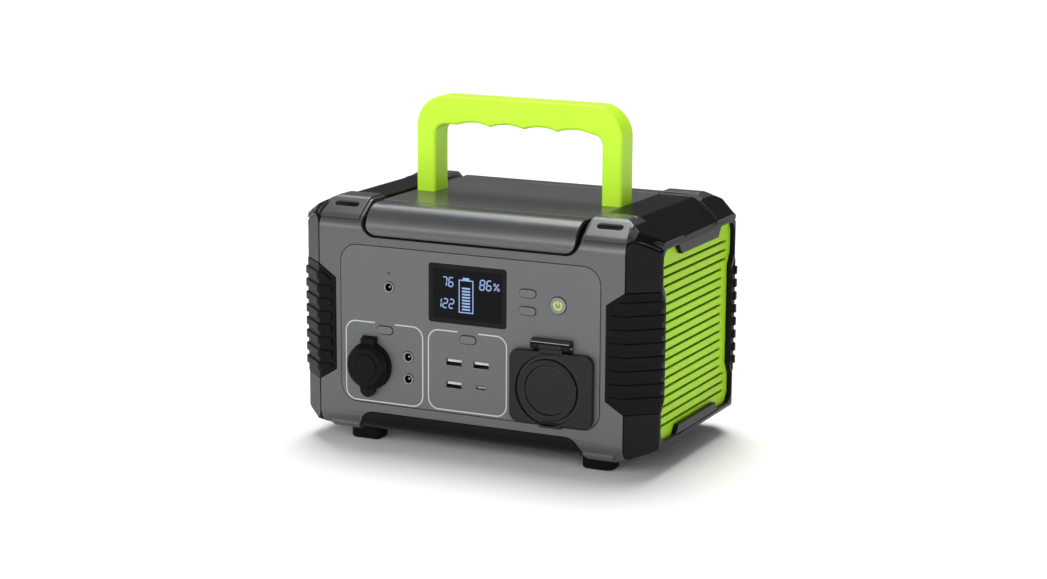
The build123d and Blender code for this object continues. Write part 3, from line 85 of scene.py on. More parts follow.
def make_world():
    """Soft studio surroundings: a bright band low in front, dim overhead and behind."""
    world = bpy.data.worlds.new("studio")
    bpy.context.scene.world = world
    world.use_nodes = True
    tree = world.node_tree
    tree.nodes.clear()
    place = tree.nodes.new("ShaderNodeTexCoord")
    split = tree.nodes.new("ShaderNodeSeparateXYZ")
    ramp = tree.nodes.new("ShaderNodeValToRGB")
    shade = tree.nodes.new("ShaderNodeBackground")
    out = tree.nodes.new("ShaderNodeOutputWorld")
    ramp.color_ramp.interpolation = "EASE"
    for position, level in SKY_STOPS[1:-1]:
        ramp.color_ramp.elements.new(position).color = (level, level, level, 1.0)
    for index, (position, level) in ((0, SKY_STOPS[0]), (len(SKY_STOPS) - 1, SKY_STOPS[-1])):
        ramp.color_ramp.elements[index].position = position
        ramp.color_ramp.elements[index].color = (level, level, level, 1.0)
    tree.links.new(place.outputs["Generated"], split.inputs["Vector"])
    tree.links.new(split.outputs["Z"], ramp.inputs["Fac"])
    tree.links.new(ramp.outputs["Color"], shade.inputs["Color"])
    facing = tree.nodes.new("ShaderNodeVectorMath")
    facing.operation = "DOT_PRODUCT"
    facing.inputs[1].default_value = BRIGHT_SIDE
    fade = tree.nodes.new("ShaderNodeMapRange")
    fade.inputs["From Min"].default_value = -0.45
    fade.inputs["From Max"].default_value = 0.55
    fade.inputs["To Min"].default_value = 0.06
    tree.links.new(place.outputs["Generated"], facing.inputs[0])
    tree.links.new(facing.outputs["Value"], fade.inputs["Value"])
    tree.links.new(fade.outputs["Result"], shade.inputs["Strength"])
    tree.links.new(shade.outputs["Background"], out.inputs["Surface"])


def softbox(name, at, look_at, width, height, power, spread=180.0):
    """A rectangular area light at one point, facing another."""
    data = bpy.data.lights.new(name, "AREA")
    data.shape = "RECTANGLE"
    data.size = width
    data.size_y = height
    data.energy = power
    data.spread = radians(spread)
    lamp = bpy.data.objects.new(name, data)
    bpy.context.scene.collection.objects.link(lamp)
    aim = Vector(look_at) - Vector(at)
    lamp.matrix_world = Matrix.Translation(at) @ aim.to_track_quat("-Z", "Y").to_matrix().to_4x4()


def sun(name, energy, angle, turn_x, turn_y):
    """A wide soft light from far above, tipped by turns about x and y; all angles in degrees."""
    data = bpy.data.lights.new(name, "SUN")
    data.energy = energy
    data.angle = radians(angle)
    lamp = bpy.data.objects.new(name, data)
    lamp.rotation_euler = (radians(turn_x), radians(turn_y), 0.0)
    bpy.context.scene.collection.objects.link(lamp)


def make_floor():
    """A plain pale floor that reaches past the picture's edges."""
    mesh = bpy.data.meshes.new("floor")
    corners = [(x * FLOOR_REACH, y * FLOOR_REACH, 0) for x, y in ((-1, -1), (1, -1), (1, 1), (-1, 1))]
    mesh.from_pydata(corners, [], [(0, 1, 2, 3)])
    floor = bpy.data.objects.new("floor", mesh)
    bpy.context.scene.collection.objects.link(floor)
    material = bpy.data.materials.new("floor_paper")
    material.use_nodes = True
    shader = material.node_tree.nodes["Principled BSDF"]
    shader.inputs["Base Color"].default_value = (0.93, 0.93, 0.93, 1.0)
    shader.inputs["Roughness"].default_value = 0.9
    shader.inputs["Specular IOR Level"].default_value = 0.1
    mesh.materials.append(material)


def make_lamps():
    """The softboxes in front, at the grille and behind the top edges, and a light from above."""
    softbox("front_softbox", (0.15, -2.2, 1.15), (0.0, 0.0, 0.12), 1.9, 0.7, 14.0)
    softbox("grille_softbox", (1.7, -0.25, 0.085), (0.14, 0.0, 0.085), 0.24, 0.08, 0.022, spread=8.0)
    softbox("rim_softbox", (-0.67, 0.82, 1.35), (0.0, -0.08, 0.17), 0.9, 0.14, 3.2)
    sun("overhead", 2.9, 38.0, -18.0, -6.0)


# ---------------------------------------------------------------- materials
class Finish:
    """A procedural material: a Principled shader fed by noise in the object's own coordinates."""

    def __init__(self, name):
        self.material = bpy.data.materials.new(f"{name}_finish")
        self.material.use_nodes = True
        self.tree = self.material.node_tree
        self.tree.nodes.clear()
        self.shader = self.tree.nodes.new("ShaderNodeBsdfPrincipled")
        output = self.tree.nodes.new("ShaderNodeOutputMaterial")
        self.tree.links.new(self.shader.outputs["BSDF"], output.inputs["Surface"])
        self.place = self.tree.nodes.new("ShaderNodeTexCoord").outputs["Object"]
        self.normal = None

    def noise(self, size, detail=3.0, stretch=None):
        """Noise whose features are about this many metres across, as a value near 0.5."""
        node = self.tree.nodes.new("ShaderNodeTexNoise")
        node.inputs["Scale"].default_value = 1.0 / size
        node.inputs["Detail"].default_value = detail
        source = self.place
        if stretch:
            mapping = self.tree.nodes.new("ShaderNodeMapping")
            mapping.inputs["Scale"].default_value = stretch
            self.tree.links.new(source, mapping.inputs["Vector"])
            source = mapping.outputs["Vector"]
        self.tree.links.new(source, node.inputs["Vector"])
        return node.outputs["Fac"]

    def spread(self, value, low, high, from_low=0.15, from_high=0.85):
        """A value stretched from one range to another."""
        node = self.tree.nodes.new("ShaderNodeMapRange")
        node.inputs["From Min"].default_value = from_low
        node.inputs["From Max"].default_value = from_high
        node.inputs["To Min"].default_value = low
        node.inputs["To Max"].default_value = high
        self.tree.links.new(value, node.inputs["Value"])
        return node.outputs["Result"]

    def times(self, a, b):
        """Product of a value and another value or a number."""
        node = self.tree.nodes.new("ShaderNodeMath")
        node.operation = "MULTIPLY"
        self.tree.links.new(a, node.inputs[0])
        if isinstance(b, float):
            node.inputs[1].default_value = b
        else:
            self.tree.links.new(b, node.inputs[1])
        return node.outputs["Value"]

    def blend(self, share, first, second):
        """Two colours mixed by a share; a colour is a triple or another node's output."""
        node = self.tree.nodes.new("ShaderNodeMix")
        node.data_type = "RGBA"
        self.tree.links.new(share, node.inputs["Factor"])
        for socket, colour in ((node.inputs["A"], first), (node.inputs["B"], second)):
            if isinstance(colour, tuple):
                socket.default_value = (*colour, 1.0)
            else:
                self.tree.links.new(colour, socket)
        return node.outputs["Result"]

    def edges(self, radius=0.0007):
        """A mask that is 1 on worn outer edges and 0 on flats, broken up by noise."""
        bevel = self.tree.nodes.new("ShaderNodeBevel")
        bevel.samples = 4
        bevel.inputs["Radius"].default_value = radius
        flat = self.tree.nodes.new("ShaderNodeNewGeometry")
        match = self.tree.nodes.new("ShaderNodeVectorMath")
        match.operation = "DOT_PRODUCT"
        self.tree.links.new(bevel.outputs["Normal"], match.inputs[0])
        self.tree.links.new(flat.outputs["Normal"], match.inputs[1])
        edge = self.spread(match.outputs["Value"], 1.0, 0.0, 0.90, 0.995)
        patch = self.spread(self.noise(0.006, 4.0), 0.0, 1.0, 0.42, 0.62)
        return self.times(edge, patch)

    def soften(self, radius):
        """Lets light roll over hard edges as if they were rounded by this many metres."""
        bevel = self.tree.nodes.new("ShaderNodeBevel")
        bevel.samples = 4
        bevel.inputs["Radius"].default_value = radius
        self.normal = bevel.outputs["Normal"]

    def bump(self, height, depth, strength=0.6):
        """Adds relief of this depth in metres."""
        node = self.tree.nodes.new("ShaderNodeBump")
        node.inputs["Distance"].default_value = depth
        node.inputs["Strength"].default_value = strength
        self.tree.links.new(height, node.inputs["Height"])
        if self.normal:
            self.tree.links.new(self.normal, node.inputs["Normal"])
        self.normal = node.outputs["Normal"]
        self.tree.links.new(self.normal, self.shader.inputs["Normal"])

    def set(self, **values):
        """Fixed numbers on the shader's own sockets."""
        for name, value in values.items():
            self.shader.inputs[name.replace("_", " ")].default_value = value

    def colour(self, output):
        """Feeds the shader's base colour."""
        self.tree.links.new(output, self.shader.inputs["Base Color"])

    def rough(self, output):
        """Feeds the shader's roughness."""
        self.tree.links.new(output, self.shader.inputs["Roughness"])


def moulded(name, colour, rough, grain=0.0005, depth=0.00002, vary=0.10, worn=None, wear=0.35,
            specular=0.5, metallic=0.0, coat=0.0, coat_rough=0.1, flake=0.0):
    """A moulded or painted surface: mottled colour, uneven gloss, fine grain and worn edges."""
    finish = Finish(name)
    dark = tuple(c * (1 - vary) for c in colour)
    light = tuple(min(c * (1 + vary), 1.0) for c in colour)
    cloud = finish.noise(0.030, 4.0)
    speck = finish.noise(0.0009, 2.0)
    base = finish.blend(finish.spread(cloud, 0.0, 1.0), dark, light)
    if flake:
        bright = tuple(min(c * (1 + 3 * flake) + 0.02, 1.0) for c in colour)
        base = finish.blend(finish.spread(speck, 0.0, flake, 0.55, 0.75), base, bright)
    if worn:
        base = finish.blend(finish.times(finish.edges(), wear), base, worn)
    finish.colour(base)
    smear = finish.noise(0.030, 3.0)
    finish.rough(finish.spread(smear, rough - 0.03, rough + 0.03))
    finish.soften(0.0004)
    finish.bump(finish.noise(grain, 2.0), depth)
    finish.set(Specular_IOR_Level=specular, Metallic=metallic, Coat_Weight=coat)
    finish.set(Coat_Roughness=coat_rough)
    return finish.material


def glowing(name, colour, level):
    """A lit display segment or lamp; its brightness is a little uneven."""
    finish = Finish(name)
    cloud = finish.spread(finish.noise(0.0012, 2.0), 0.0, 1.0)
    dim = tuple(c * 0.82 for c in colour)
    shade = finish.blend(cloud, dim, colour)
    finish.tree.links.new(shade, finish.shader.inputs["Emission Color"])
    finish.rough(finish.spread(cloud, 0.25, 0.35))
    finish.set(Emission_Strength=level, Base_Color=(0.02, 0.02, 0.02, 1.0))
    return finish.material


def brushed(name, colour, rough, metallic=1.0, stretch=(1.0, 1.0, 14.0)):
    """Drawn or turned metal: fine streaks along one direction."""
    finish = Finish(name)
    streak = finish.noise(0.004, 4.0, stretch=stretch)
    dark = tuple(c * 0.82 for c in colour)
    finish.colour(finish.blend(finish.spread(streak, 0.0, 1.0), dark, colour))
    finish.rough(finish.spread(streak, rough - 0.07, rough + 0.07))
    finish.bump(streak, 0.00001, 0.4)
    finish.set(Metallic=metallic)
    return finish.material


def make_materials():
    """One finish for each of the record's material slots, and a few for the added pieces."""
    return {
        "cover_paint": moulded("cover_paint", (0.112, 0.114, 0.118), 0.30, metallic=0.62, vary=0.04,
                               worn=(0.22, 0.22, 0.23), wear=0.20, flake=0.12),
        "panel_paint": moulded("panel_paint", (0.112, 0.114, 0.117), 0.48, metallic=0.25, vary=0.03,
                               grain=0.0004, worn=(0.36, 0.36, 0.37), wear=0.2, flake=0.15),
        "black_plastic": moulded("black_plastic", (0.0042, 0.0042, 0.0046), 0.34, grain=0.0006,
                                 depth=0.000008, vary=0.18, worn=(0.03, 0.03, 0.03), specular=0.14),
        "lime_grille": moulded("lime_grille", (0.36, 0.64, 0.016), 0.50, grain=0.0005, vary=0.05,
                               worn=(0.46, 0.74, 0.05), wear=0.4, specular=0.2),
        "lime_plastic": moulded("lime_plastic", (0.57, 0.97, 0.036), 0.42, grain=0.0005, vary=0.04,
                                worn=(0.62, 0.98, 0.12), wear=0.4, specular=0.3),
        "black_rubber": moulded("black_rubber", (0.0028, 0.0028, 0.0028), 0.48, grain=0.0004,
                                depth=0.000015, vary=0.22, worn=(0.018, 0.018, 0.018), specular=0.10),
        "deck": moulded("deck", (0.078, 0.078, 0.079), 0.25, grain=0.0006, depth=0.0000015, vary=0.03,
                        worn=(0.12, 0.12, 0.12), specular=0.5),
        "screen_glass": moulded("screen_glass", (0.0018, 0.0018, 0.0032), 0.18, grain=0.004,
                                depth=0.000002, vary=0.2, specular=0.10),
        "display": moulded("display", (0.012, 0.013, 0.018), 0.30, vary=0.2),
        "button_metal": brushed("button_metal", (0.27, 0.27, 0.27), 0.34),
        "button_grey": moulded("button_grey", (0.13, 0.132, 0.136), 0.36, metallic=0.5, vary=0.06,
                               worn=(0.34, 0.34, 0.35), wear=0.4, flake=0.2),
        "led": glowing("led", (0.30, 0.02, 0.02), 0.25),
        "nickel": brushed("nickel", (0.30, 0.30, 0.30), 0.30),
        "steel": brushed("steel", (0.52, 0.52, 0.53), 0.30),
        "white_plastic": moulded("white_plastic", (0.50, 0.50, 0.49), 0.35, vary=0.04),
        "brass": brushed("brass", (0.76, 0.56, 0.24), 0.28),
        "circuit_board": moulded("circuit_board", (0.012, 0.09, 0.035), 0.35, vary=0.25),
        "cell_wrap": moulded("cell_wrap", (0.02, 0.16, 0.34), 0.30, vary=0.12),
        "aluminium": brushed("aluminium", (0.70, 0.71, 0.72), 0.34),
        "ferrite": moulded("ferrite", (0.03, 0.03, 0.032), 0.62, vary=0.2),
        "copper_winding": brushed("copper_winding", (0.72, 0.30, 0.12), 0.28, stretch=(1.0, 1.0, 20.0)),
        "capacitor_sleeve": moulded("capacitor_sleeve", (0.015, 0.02, 0.05), 0.25, vary=0.15),
        "print_white": moulded("print_white", (0.50, 0.53, 0.53), 0.45, vary=0.05, grain=0.0003),
        "display_light": glowing("display_light", (0.36, 0.56, 1.0), 0.85),
        "power_light": glowing("power_light", (0.60, 0.85, 0.04), 0.9),
        "teal_light": glowing("teal_light", (0.10, 0.42, 0.40), 0.35),
        "flap_black": moulded("flap_black", (0.0065, 0.0065, 0.0068), 0.26, grain=0.0008,
                              depth=0.000004, vary=0.15, worn=(0.04, 0.04, 0.04), specular=0.25),
        "satin_black": moulded("satin_black", (0.016, 0.016, 0.017), 0.30, grain=0.0006,
                               depth=0.000008, vary=0.15, worn=(0.06, 0.06, 0.06), specular=0.6),
        # Painted shadow: near-black for the rings in the flap's grooves and the sheets in the corner
        # recesses
        "painted_shadow_dark": moulded("painted_shadow_dark", (0.006, 0.006, 0.006), 0.6, vary=0.2),
    }


MATERIALS = make_materials()


# ---------------------------------------------------------------- mesh helpers
WELD = 0.002  # points this near to one another, in millimetres, are one
FLAT_ANGLE = radians(0.8)  # faces that meet at less are one flat
HARD_ANGLE = radians(24.0)  # faces that meet at more have a hard edge


def quarter_turn(x, z, r, start, steps=10, way=1):
    """Points of a quarter circle round (x, z) from a start angle, anticlockwise unless way is -1."""
    return [
        (x + r * cos(start + way * pi / 2 * k / steps), z + r * sin(start + way * pi / 2 * k / steps))
        for k in range(steps + 1)
    ]


def circle_ring(pole, r, count):
    """Points of a circle round a pole."""
    return [(pole[0] + r * cos(tau * k / count), pole[1] + r * sin(tau * k / count)) for k in range(count)]


def rectangle(low_x, high_x, low_z, high_z):
    """Corners of a rectangle, anticlockwise from the lower left."""
    return [(low_x, low_z), (high_x, low_z), (high_x, high_z), (low_x, high_z)]


def put(name, bm, material, body, smooth_angle=None):
    """Turns a bmesh into a piece with a material, riding on a body."""
    mesh = bpy.data.meshes.new(name)
    if smooth_angle is not None:
        for face in bm.faces:
            face.smooth = True
        for edge in bm.edges:
            edge.smooth = edge.is_manifold and edge.calc_face_angle(pi) < radians(smooth_angle)
    bm.to_mesh(mesh)
    bm.free()
    mesh.materials.append(MATERIALS[material])
    piece = bpy.data.objects.new(name, mesh)
    bpy.context.scene.collection.objects.link(piece)
    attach(piece, body)
    return piece


def even_shading(piece):
    """Weighs the normals by face, so that large flats stay flat beside small roundings."""
    shading = piece.modifiers.new("even_shading", "WEIGHTED_NORMAL")
    shading.keep_sharp = True


def refined(node, round_by, flat_x=False):
    """A finer copy of a CAD node: flat faces merged, every hard edge rounded, shading evened out.

    With flat_x the faces that look sideways keep their triangles, as the vent window needs."""
    source = NODES[node].data
    bm = bmesh.new()
    bm.from_mesh(source)
    bmesh.ops.remove_doubles(bm, verts=bm.verts, dist=WELD * MM)
    inner = [e for e in bm.edges if not (flat_x and all(abs(f.normal.x) > 0.99 for f in e.link_faces))]
    bmesh.ops.dissolve_limit(bm, angle_limit=FLAT_ANGLE, verts=bm.verts, edges=inner)
    hard = [e for e in bm.edges if e.is_manifold and e.calc_face_angle(0.0) > HARD_ANGLE]
    bmesh.ops.bevel(bm, geom=hard, offset=round_by * MM, offset_type="OFFSET", segments=3,
                    profile=0.5, affect="EDGES", clamp_overlap=False, loop_slide=True)
    low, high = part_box(node)
    for vert in bm.verts:
        for axis in range(3):
            vert.co[axis] = min(max(vert.co[axis], low[axis]), high[axis])
    slot = SLOT_OF[node]
    piece = put(f"{node}_shell", bm, slot, BODY_OF[node], smooth_angle=50.0)
    even_shading(piece)
    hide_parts(node)


make_camera()
make_world()
make_floor()
make_lamps()

# Nodes shown as finer copies, and how far each one's hard edges are rounded, in millimetres
REFINED = {
    "front_cover": 0.45, "rear_cover": 0.45, "left_side_cover": 0.6, "right_side_cover": 0.6,
    "top_frame": 0.3, "bottom_cover": 0.4, "front_trim_bar": 0.45, "rear_trim_bar": 0.45,
    "deck_plate": 0.2, "control_panel": 0.25, "rear_panel": 0.3, "rubber_feet": 0.6,
    "front_left_grip": 0.5, "front_right_grip": 0.5, "rear_left_grip": 0.5, "rear_right_grip": 0.5,
    "ac_outlet_frame": 0.25, "car_cap_ring": 0.3, "car_socket_cap": 0.3,
    "power_button": 0.15, "display_button": 0.15, "ac_button": 0.15, "car_button": 0.15,
    "usb_button": 0.15,
}
for node, round_by in REFINED.items():
    refined(node, round_by, flat_x=node.endswith("side_cover"))

# ---------------------------------------------------------------- handle
LEG_WIDTH = 15.6
GRIP_DEEP = 20.8  # from the top of the handle to the grip's underside
OUTER_BEND = 23.0
INNER_BEND = 8.0
HANDLE_ROUND = 2.6  # rounding of all the long edges
FINGER_FROM = -49.5
FINGER_PITCH = 27.0
FINGERS = 4
FINGER_RISE = 2.3
BEND_STEPS = 14
LEG_STEPS = 12
GRIP_STEPS = 120
ROUND_STEPS = 6


def leg(x, foot, head):
    """Points up a leg, from its foot to just below its head."""
    return [(x, foot + (head - foot) * k / LEG_STEPS) for k in range(LEG_STEPS)]


def finger_rise(x):
    """How far the grip's underside is scooped out at x."""
    along = (x - FINGER_FROM) / FINGER_PITCH
    if along <= 0.0 or along >= FINGERS:
        return 0.0
    return FINGER_RISE * (1.0 - (2.0 * (along % 1.0) - 1.0) ** 2)


def handle_paths(low, high, inset):
    """Outer and inner outline of the handle, shrunk by an inset, from the left foot to the right."""
    left = low.x / MM + inset
    right = high.x / MM - inset
    base = low.z / MM
    top = high.z / MM - inset
    bend_r = OUTER_BEND - inset
    outer = leg(left, base, top - bend_r)
    outer += quarter_turn(left + bend_r, top - bend_r, bend_r, pi, BEND_STEPS, -1)
    span = right - left - 2 * bend_r
    outer += [(left + bend_r + span * k / GRIP_STEPS, top) for k in range(1, GRIP_STEPS)]
    outer += quarter_turn(right - bend_r, top - bend_r, bend_r, pi / 2, BEND_STEPS, -1)
    outer += reversed(leg(right, base, top - bend_r))
    left += LEG_WIDTH - 2 * inset
    right -= LEG_WIDTH - 2 * inset
    under = top - GRIP_DEEP + 2 * inset
    inner_r = INNER_BEND + inset
    inner = leg(left, base, under - inner_r)
    inner += quarter_turn(left + inner_r, under - inner_r, inner_r, pi, BEND_STEPS, -1)
    span = right - left - 2 * inner_r
    for k in range(1, GRIP_STEPS):
        x = left + inner_r + span * k / GRIP_STEPS
        inner.append((x, under + finger_rise(x)))
    inner += quarter_turn(right - inner_r, under - inner_r, inner_r, pi / 2, BEND_STEPS, -1)
    inner += reversed(leg(right, base, under - inner_r))
    return outer, inner


def carry_handle():
    """The carry handle with soft edges and finger scoops, standing on the deck."""
    low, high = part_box("handle")
    bm = bmesh.new()
    levels = []
    for side, sign, order in (
        (low.y, 1.0, range(ROUND_STEPS, -1, -1)),
        (high.y, -1.0, range(ROUND_STEPS + 1)),
    ):
        for k in order:
            turn = pi / 2 * k / ROUND_STEPS
            y = side + sign * HANDLE_ROUND * MM * (1.0 - sin(turn))
            paths = handle_paths(low, high, HANDLE_ROUND * (1.0 - cos(turn)))
            levels.append([[bm.verts.new((x * MM, y, z * MM)) for x, z in path] for path in paths])
    count = len(levels[0][0])
    for first, second in zip(levels, levels[1:]):
        for line in range(2):
            for k in range(count - 1):
                bm.faces.new((first[line][k], first[line][k + 1], second[line][k + 1], second[line][k]))
    for outer, inner in (levels[0], levels[-1]):
        for k in range(count - 1):
            bm.faces.new((outer[k], outer[k + 1], inner[k + 1], inner[k]))
    for k in (0, count - 1):
        bm.faces.new([level[0][k] for level in levels] + [level[1][k] for level in reversed(levels)])
    bmesh.ops.recalc_face_normals(bm, faces=bm.faces)
    piece = put("carry_handle", bm, "lime_plastic", "case", smooth_angle=50.0)
    even_shading(piece)
    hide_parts("handle")


carry_handle()

# The CAD nodes that are shown as they are take the finish of their slot
for node, slot in SLOT_OF.items():
    NODES[node].data.materials.clear()
    NODES[node].data.materials.append(MATERIALS[slot])


# ---------------------------------------------------------------- drawing on the front face
def front_strip(points, width, closed, face_y, lift, thick=0.04):
    """A thin raised line of even width along points (x, z), standing on a front-facing face."""
    count = len(points)
    half = width / 2
    bm = bmesh.new()
    rings = []
    for index, point in enumerate(points):
        here = Vector(point)
        before = Vector(points[index - 1]) if closed or index else here
        after = Vector(points[(index + 1) % count]) if closed or index < count - 1 else here
        along_in = (here - before).normalized() if (here - before).length else None
        along_out = (after - here).normalized() if (after - here).length else None
        along = ((along_in or along_out) + (along_out or along_in)).normalized()
        side = Vector((-along.y, along.x))
        turn = (along_in or along_out).angle(along_out or along_in) / 2
        reach = half / cos(turn)
        ring = []
        for offset, depth in ((-reach, 0.0), (-reach, thick), (reach, thick), (reach, 0.0)):
            spot = here + side * offset
            ring.append(bm.verts.new((spot.x * MM, face_y - (lift + depth) * MM, spot.y * MM)))
        rings.append(ring)
    spans = count if closed else count - 1
    for index in range(spans):
        first = rings[index]
        second = rings[(index + 1) % count]
        for k in range(4):
            bm.faces.new((first[k], second[k], second[(k + 1) % 4], first[(k + 1) % 4]))
    if not closed:
        bm.faces.new(rings[0])
        bm.faces.new(reversed(rings[-1]))
    bmesh.ops.recalc_face_normals(bm, faces=bm.faces)
    return bm


def join(parts):
    """Several bmeshes as one."""
    whole = bmesh.new()
    for part in parts:
        mesh = bpy.data.meshes.new("part")
        part.to_mesh(mesh)
        part.free()
        whole.from_mesh(mesh)
        bpy.data.meshes.remove(mesh)
    return whole


PANEL_LOW, PANEL_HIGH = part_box("control_panel")
PANEL_Y = PANEL_LOW.y
PRINT_WIDTH = 0.9
PRINT_CORNER_R = 8.0
PRINT_DROP = 55.6  # from the panel's top edge down to the outlines
PRINT_BREAK = 8.2  # half of the gap for a button in an outline's top edge
# The outlined groups: the button in the outline, its two sides, and its rise over the panel's foot
PRINT_GROUPS = (("usb_button", (-30.9, 30.9), 1.7), ("car_button", (-98.0, -35.5), 1.2))


def box_outline(span_x, span_z, r, gap_x):
    """A rounded box as one open line, broken at a button that sits across its top edge."""
    low_x, high_x = span_x
    low_z, high_z = span_z
    top_right = quarter_turn(high_x - r, high_z - r, r, 0.0)
    top_left = quarter_turn(low_x + r, high_z - r, r, pi / 2)
    low_left = quarter_turn(low_x + r, low_z + r, r, pi)
    low_right = quarter_turn(high_x - r, low_z + r, r, 3 * pi / 2)
    return (
        [(gap_x - PRINT_BREAK, high_z)] + top_left + low_left + low_right + top_right
        + [(gap_x + PRINT_BREAK, high_z)]
    )


def centre_mm(node):
    """Middle of a node's box, in millimetres, as x and z."""
    low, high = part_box(node)
    return (low.x + high.x) / 2 / MM, (low.z + high.z) / 2 / MM


def panel_print():
    """The two outlined groups of outlets printed on the control panel."""
    top_z = PANEL_HIGH.z / MM - PRINT_DROP
    parts = []
    for button, span_x, rise in PRINT_GROUPS:
        gap_x, _ = centre_mm(button)
        outline = box_outline(span_x, (PANEL_LOW.z / MM + rise, top_z), PRINT_CORNER_R, gap_x)
        parts.append(front_strip(outline, PRINT_WIDTH, False, PANEL_Y, 0.0))
    put("panel_outlines", join(parts), "print_white", "case")


panel_print()

# Seven-segment digits: which of the segments a (top) to g (middle) are lit
SEGMENTS = {"1": "bc", "2": "abged", "6": "afgedc", "7": "abc", "8": "abcdefg"}
SLANT = 0.10
SEGMENT_GAP = 0.12  # left free at each end of a segment
LIT_LIFT = 0.03  # the lit marks stand this far off the glass
LIT_THICK = 0.02
# Places on the display are in millimetres from the window's lower left corner.
# Rows of digits: text, left, low, width and height of a digit, pitch and stroke
DIGIT_ROWS = (
    ("76", 10.6, 26.4, 3.3, 6.4, 5.0, 0.85),
    ("122", 6.2, 10.8, 3.3, 6.4, 4.9, 0.85),
    ("86", 40.2, 26.2, 3.4, 6.8, 5.2, 0.90),
)
PERCENT_STROKE = ((51.4, 26.4), (55.2, 31.4))
PERCENT_RINGS = ((52.0, 30.6), (54.7, 27.3))
GAUGE_X = 29.5
GAUGE_LOW = 8.6
GAUGE_HIGH = 31.6
GAUGE_HALF = 5.4
GAUGE_BARS = 8
GAUGE_PITCH = 2.16
BEZEL_HALF = 1.6  # half of the width of the mask round the lit field


def segment_lines(width, height):
    """Ends of the seven segments of a digit, lower left corner at the origin."""
    middle = height / 2
    return {
        "a": ((0, height), (width, height)),
        "b": ((width, height), (width, middle)),
        "c": ((width, middle), (width, 0)),
        "d": ((0, 0), (width, 0)),
        "e": ((0, middle), (0, 0)),
        "f": ((0, height), (0, middle)),
        "g": ((0, middle), (width, middle)),
    }


def bar_between(bm, start, end, width, face_y, cut=0.5):
    """A lit bar between two points (x, z), with pointed ends like a display segment."""
    a = Vector(start)
    b = Vector(end)
    along = (b - a).normalized()
    side = Vector((-along.y, along.x)) * width / 2
    inset = along * width * cut
    a = a + along * SEGMENT_GAP
    b = b - along * SEGMENT_GAP
    outline = [a, a + inset + side, b - inset + side, b, b - inset - side, a + inset - side]
    verts = [bm.verts.new((p.x * MM, face_y, p.y * MM)) for p in outline]
    back = [bm.verts.new((p.x * MM, face_y + LIT_THICK * MM, p.y * MM)) for p in outline]
    bm.faces.new(verts)
    bm.faces.new(list(reversed(back)))
    for k in range(6):
        bm.faces.new((verts[k], back[k], back[(k + 1) % 6], verts[(k + 1) % 6]))


def digit_row(bm, corner, row, face_y):
    """A row of seven-segment digits."""
    text, left, low, width, height, pitch, stroke = row
    lines = segment_lines(width, height)
    for index, digit in enumerate(text):
        for segment in SEGMENTS[digit]:
            start, end = (
                (corner[0] + left + index * pitch + x + z * SLANT, corner[1] + low + z)
                for x, z in lines[segment]
            )
            bar_between(bm, start, end, stroke, face_y)


def bar_box(bm, low_x, high_x, low_z, high_z, face_y):
    """A lit rectangle."""
    middle_z = (low_z + high_z) / 2
    bar_between(bm, (low_x - SEGMENT_GAP, middle_z), (high_x + SEGMENT_GAP, middle_z),
                high_z - low_z, face_y, cut=0.0)


def battery_gauge(x, low_z, high_z, glass_y):
    """A battery round x: its outline, and its cap with the bars of its charge."""
    frame_line = rectangle(x - GAUGE_HALF, x + GAUGE_HALF, low_z, high_z)
    outline = front_strip(frame_line, 0.75, True, glass_y, 0.0, LIT_LIFT)
    face_y = glass_y - LIT_LIFT * MM
    bars = bmesh.new()
    bar_box(bars, x - 2.6, x + 2.6, high_z + 0.3, high_z + 1.9, face_y)
    for level in range(GAUGE_BARS):
        bar_low = low_z + 1.6 + level * GAUGE_PITCH
        bar_box(bars, x - 3.2, x + 3.2, bar_low, bar_low + 1.2, face_y)
    return [outline, bars]


def display_graphics():
    """Watts in and out, a battery gauge and a percentage, lit on the dark glass."""
    low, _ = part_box("screen_window")
    corner = (low.x / MM, low.z / MM)
    face_y = low.y - LIT_LIFT * MM
    marks = bmesh.new()
    for row in DIGIT_ROWS:
        digit_row(marks, corner, row, face_y)
    start, end = ((corner[0] + x, corner[1] + z) for x, z in PERCENT_STROKE)
    bar_between(marks, start, end, 0.8, face_y, cut=0.0)
    parts = [marks]
    for x, z in PERCENT_RINGS:
        ring = circle_ring((corner[0] + x, corner[1] + z), 0.85, 16)
        parts.append(front_strip(ring, 0.55, True, low.y, 0.0, LIT_LIFT))
    parts += battery_gauge(corner[0] + GAUGE_X, corner[1] + GAUGE_LOW, corner[1] + GAUGE_HIGH, low.y)
    put("display_segments", join(parts), "display_light", "case")


def screen_bezel():
    """The masked border round the lit field."""
    low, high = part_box("screen_window")
    border = rectangle(low.x / MM + BEZEL_HALF, high.x / MM - BEZEL_HALF,
                       low.z / MM + BEZEL_HALF, high.z / MM - BEZEL_HALF)
    strip = front_strip(border, 2 * BEZEL_HALF - 0.1, True, low.y, 0.0, LIT_LIFT)
    put("screen_bezel", strip, "black_plastic", "case")


display_graphics()
screen_bezel()

POWER_R = 2.75
POWER_OPENING = radians(34)  # half of the gap at the top of the ring
POWER_STROKE = 1.15
POWER_SUNK = 0.25  # the mark lies this deep in the button's dish
POWER_STEPS = 40
PILL_LAMP_X = -4.2  # from the middle of its button
PILL_LAMP_R = 0.3


def power_symbol():
    """The lit standby mark in the dish of the power button."""
    low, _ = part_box("power_button")
    x, z = centre_mm("power_button")
    face_y = low.y + POWER_SUNK * MM
    arc = []
    for k in range(POWER_STEPS + 1):
        turn = POWER_OPENING + (tau - 2 * POWER_OPENING) * k / POWER_STEPS
        arc.append((x + POWER_R * sin(turn), z + POWER_R * cos(turn)))
    stem = [(x, z + 0.5), (x, z + 3.3)]
    parts = [front_strip(line, POWER_STROKE, False, face_y, 0.0, 0.06) for line in (arc, stem)]
    put("power_symbol", join(parts), "power_light", "power_button")


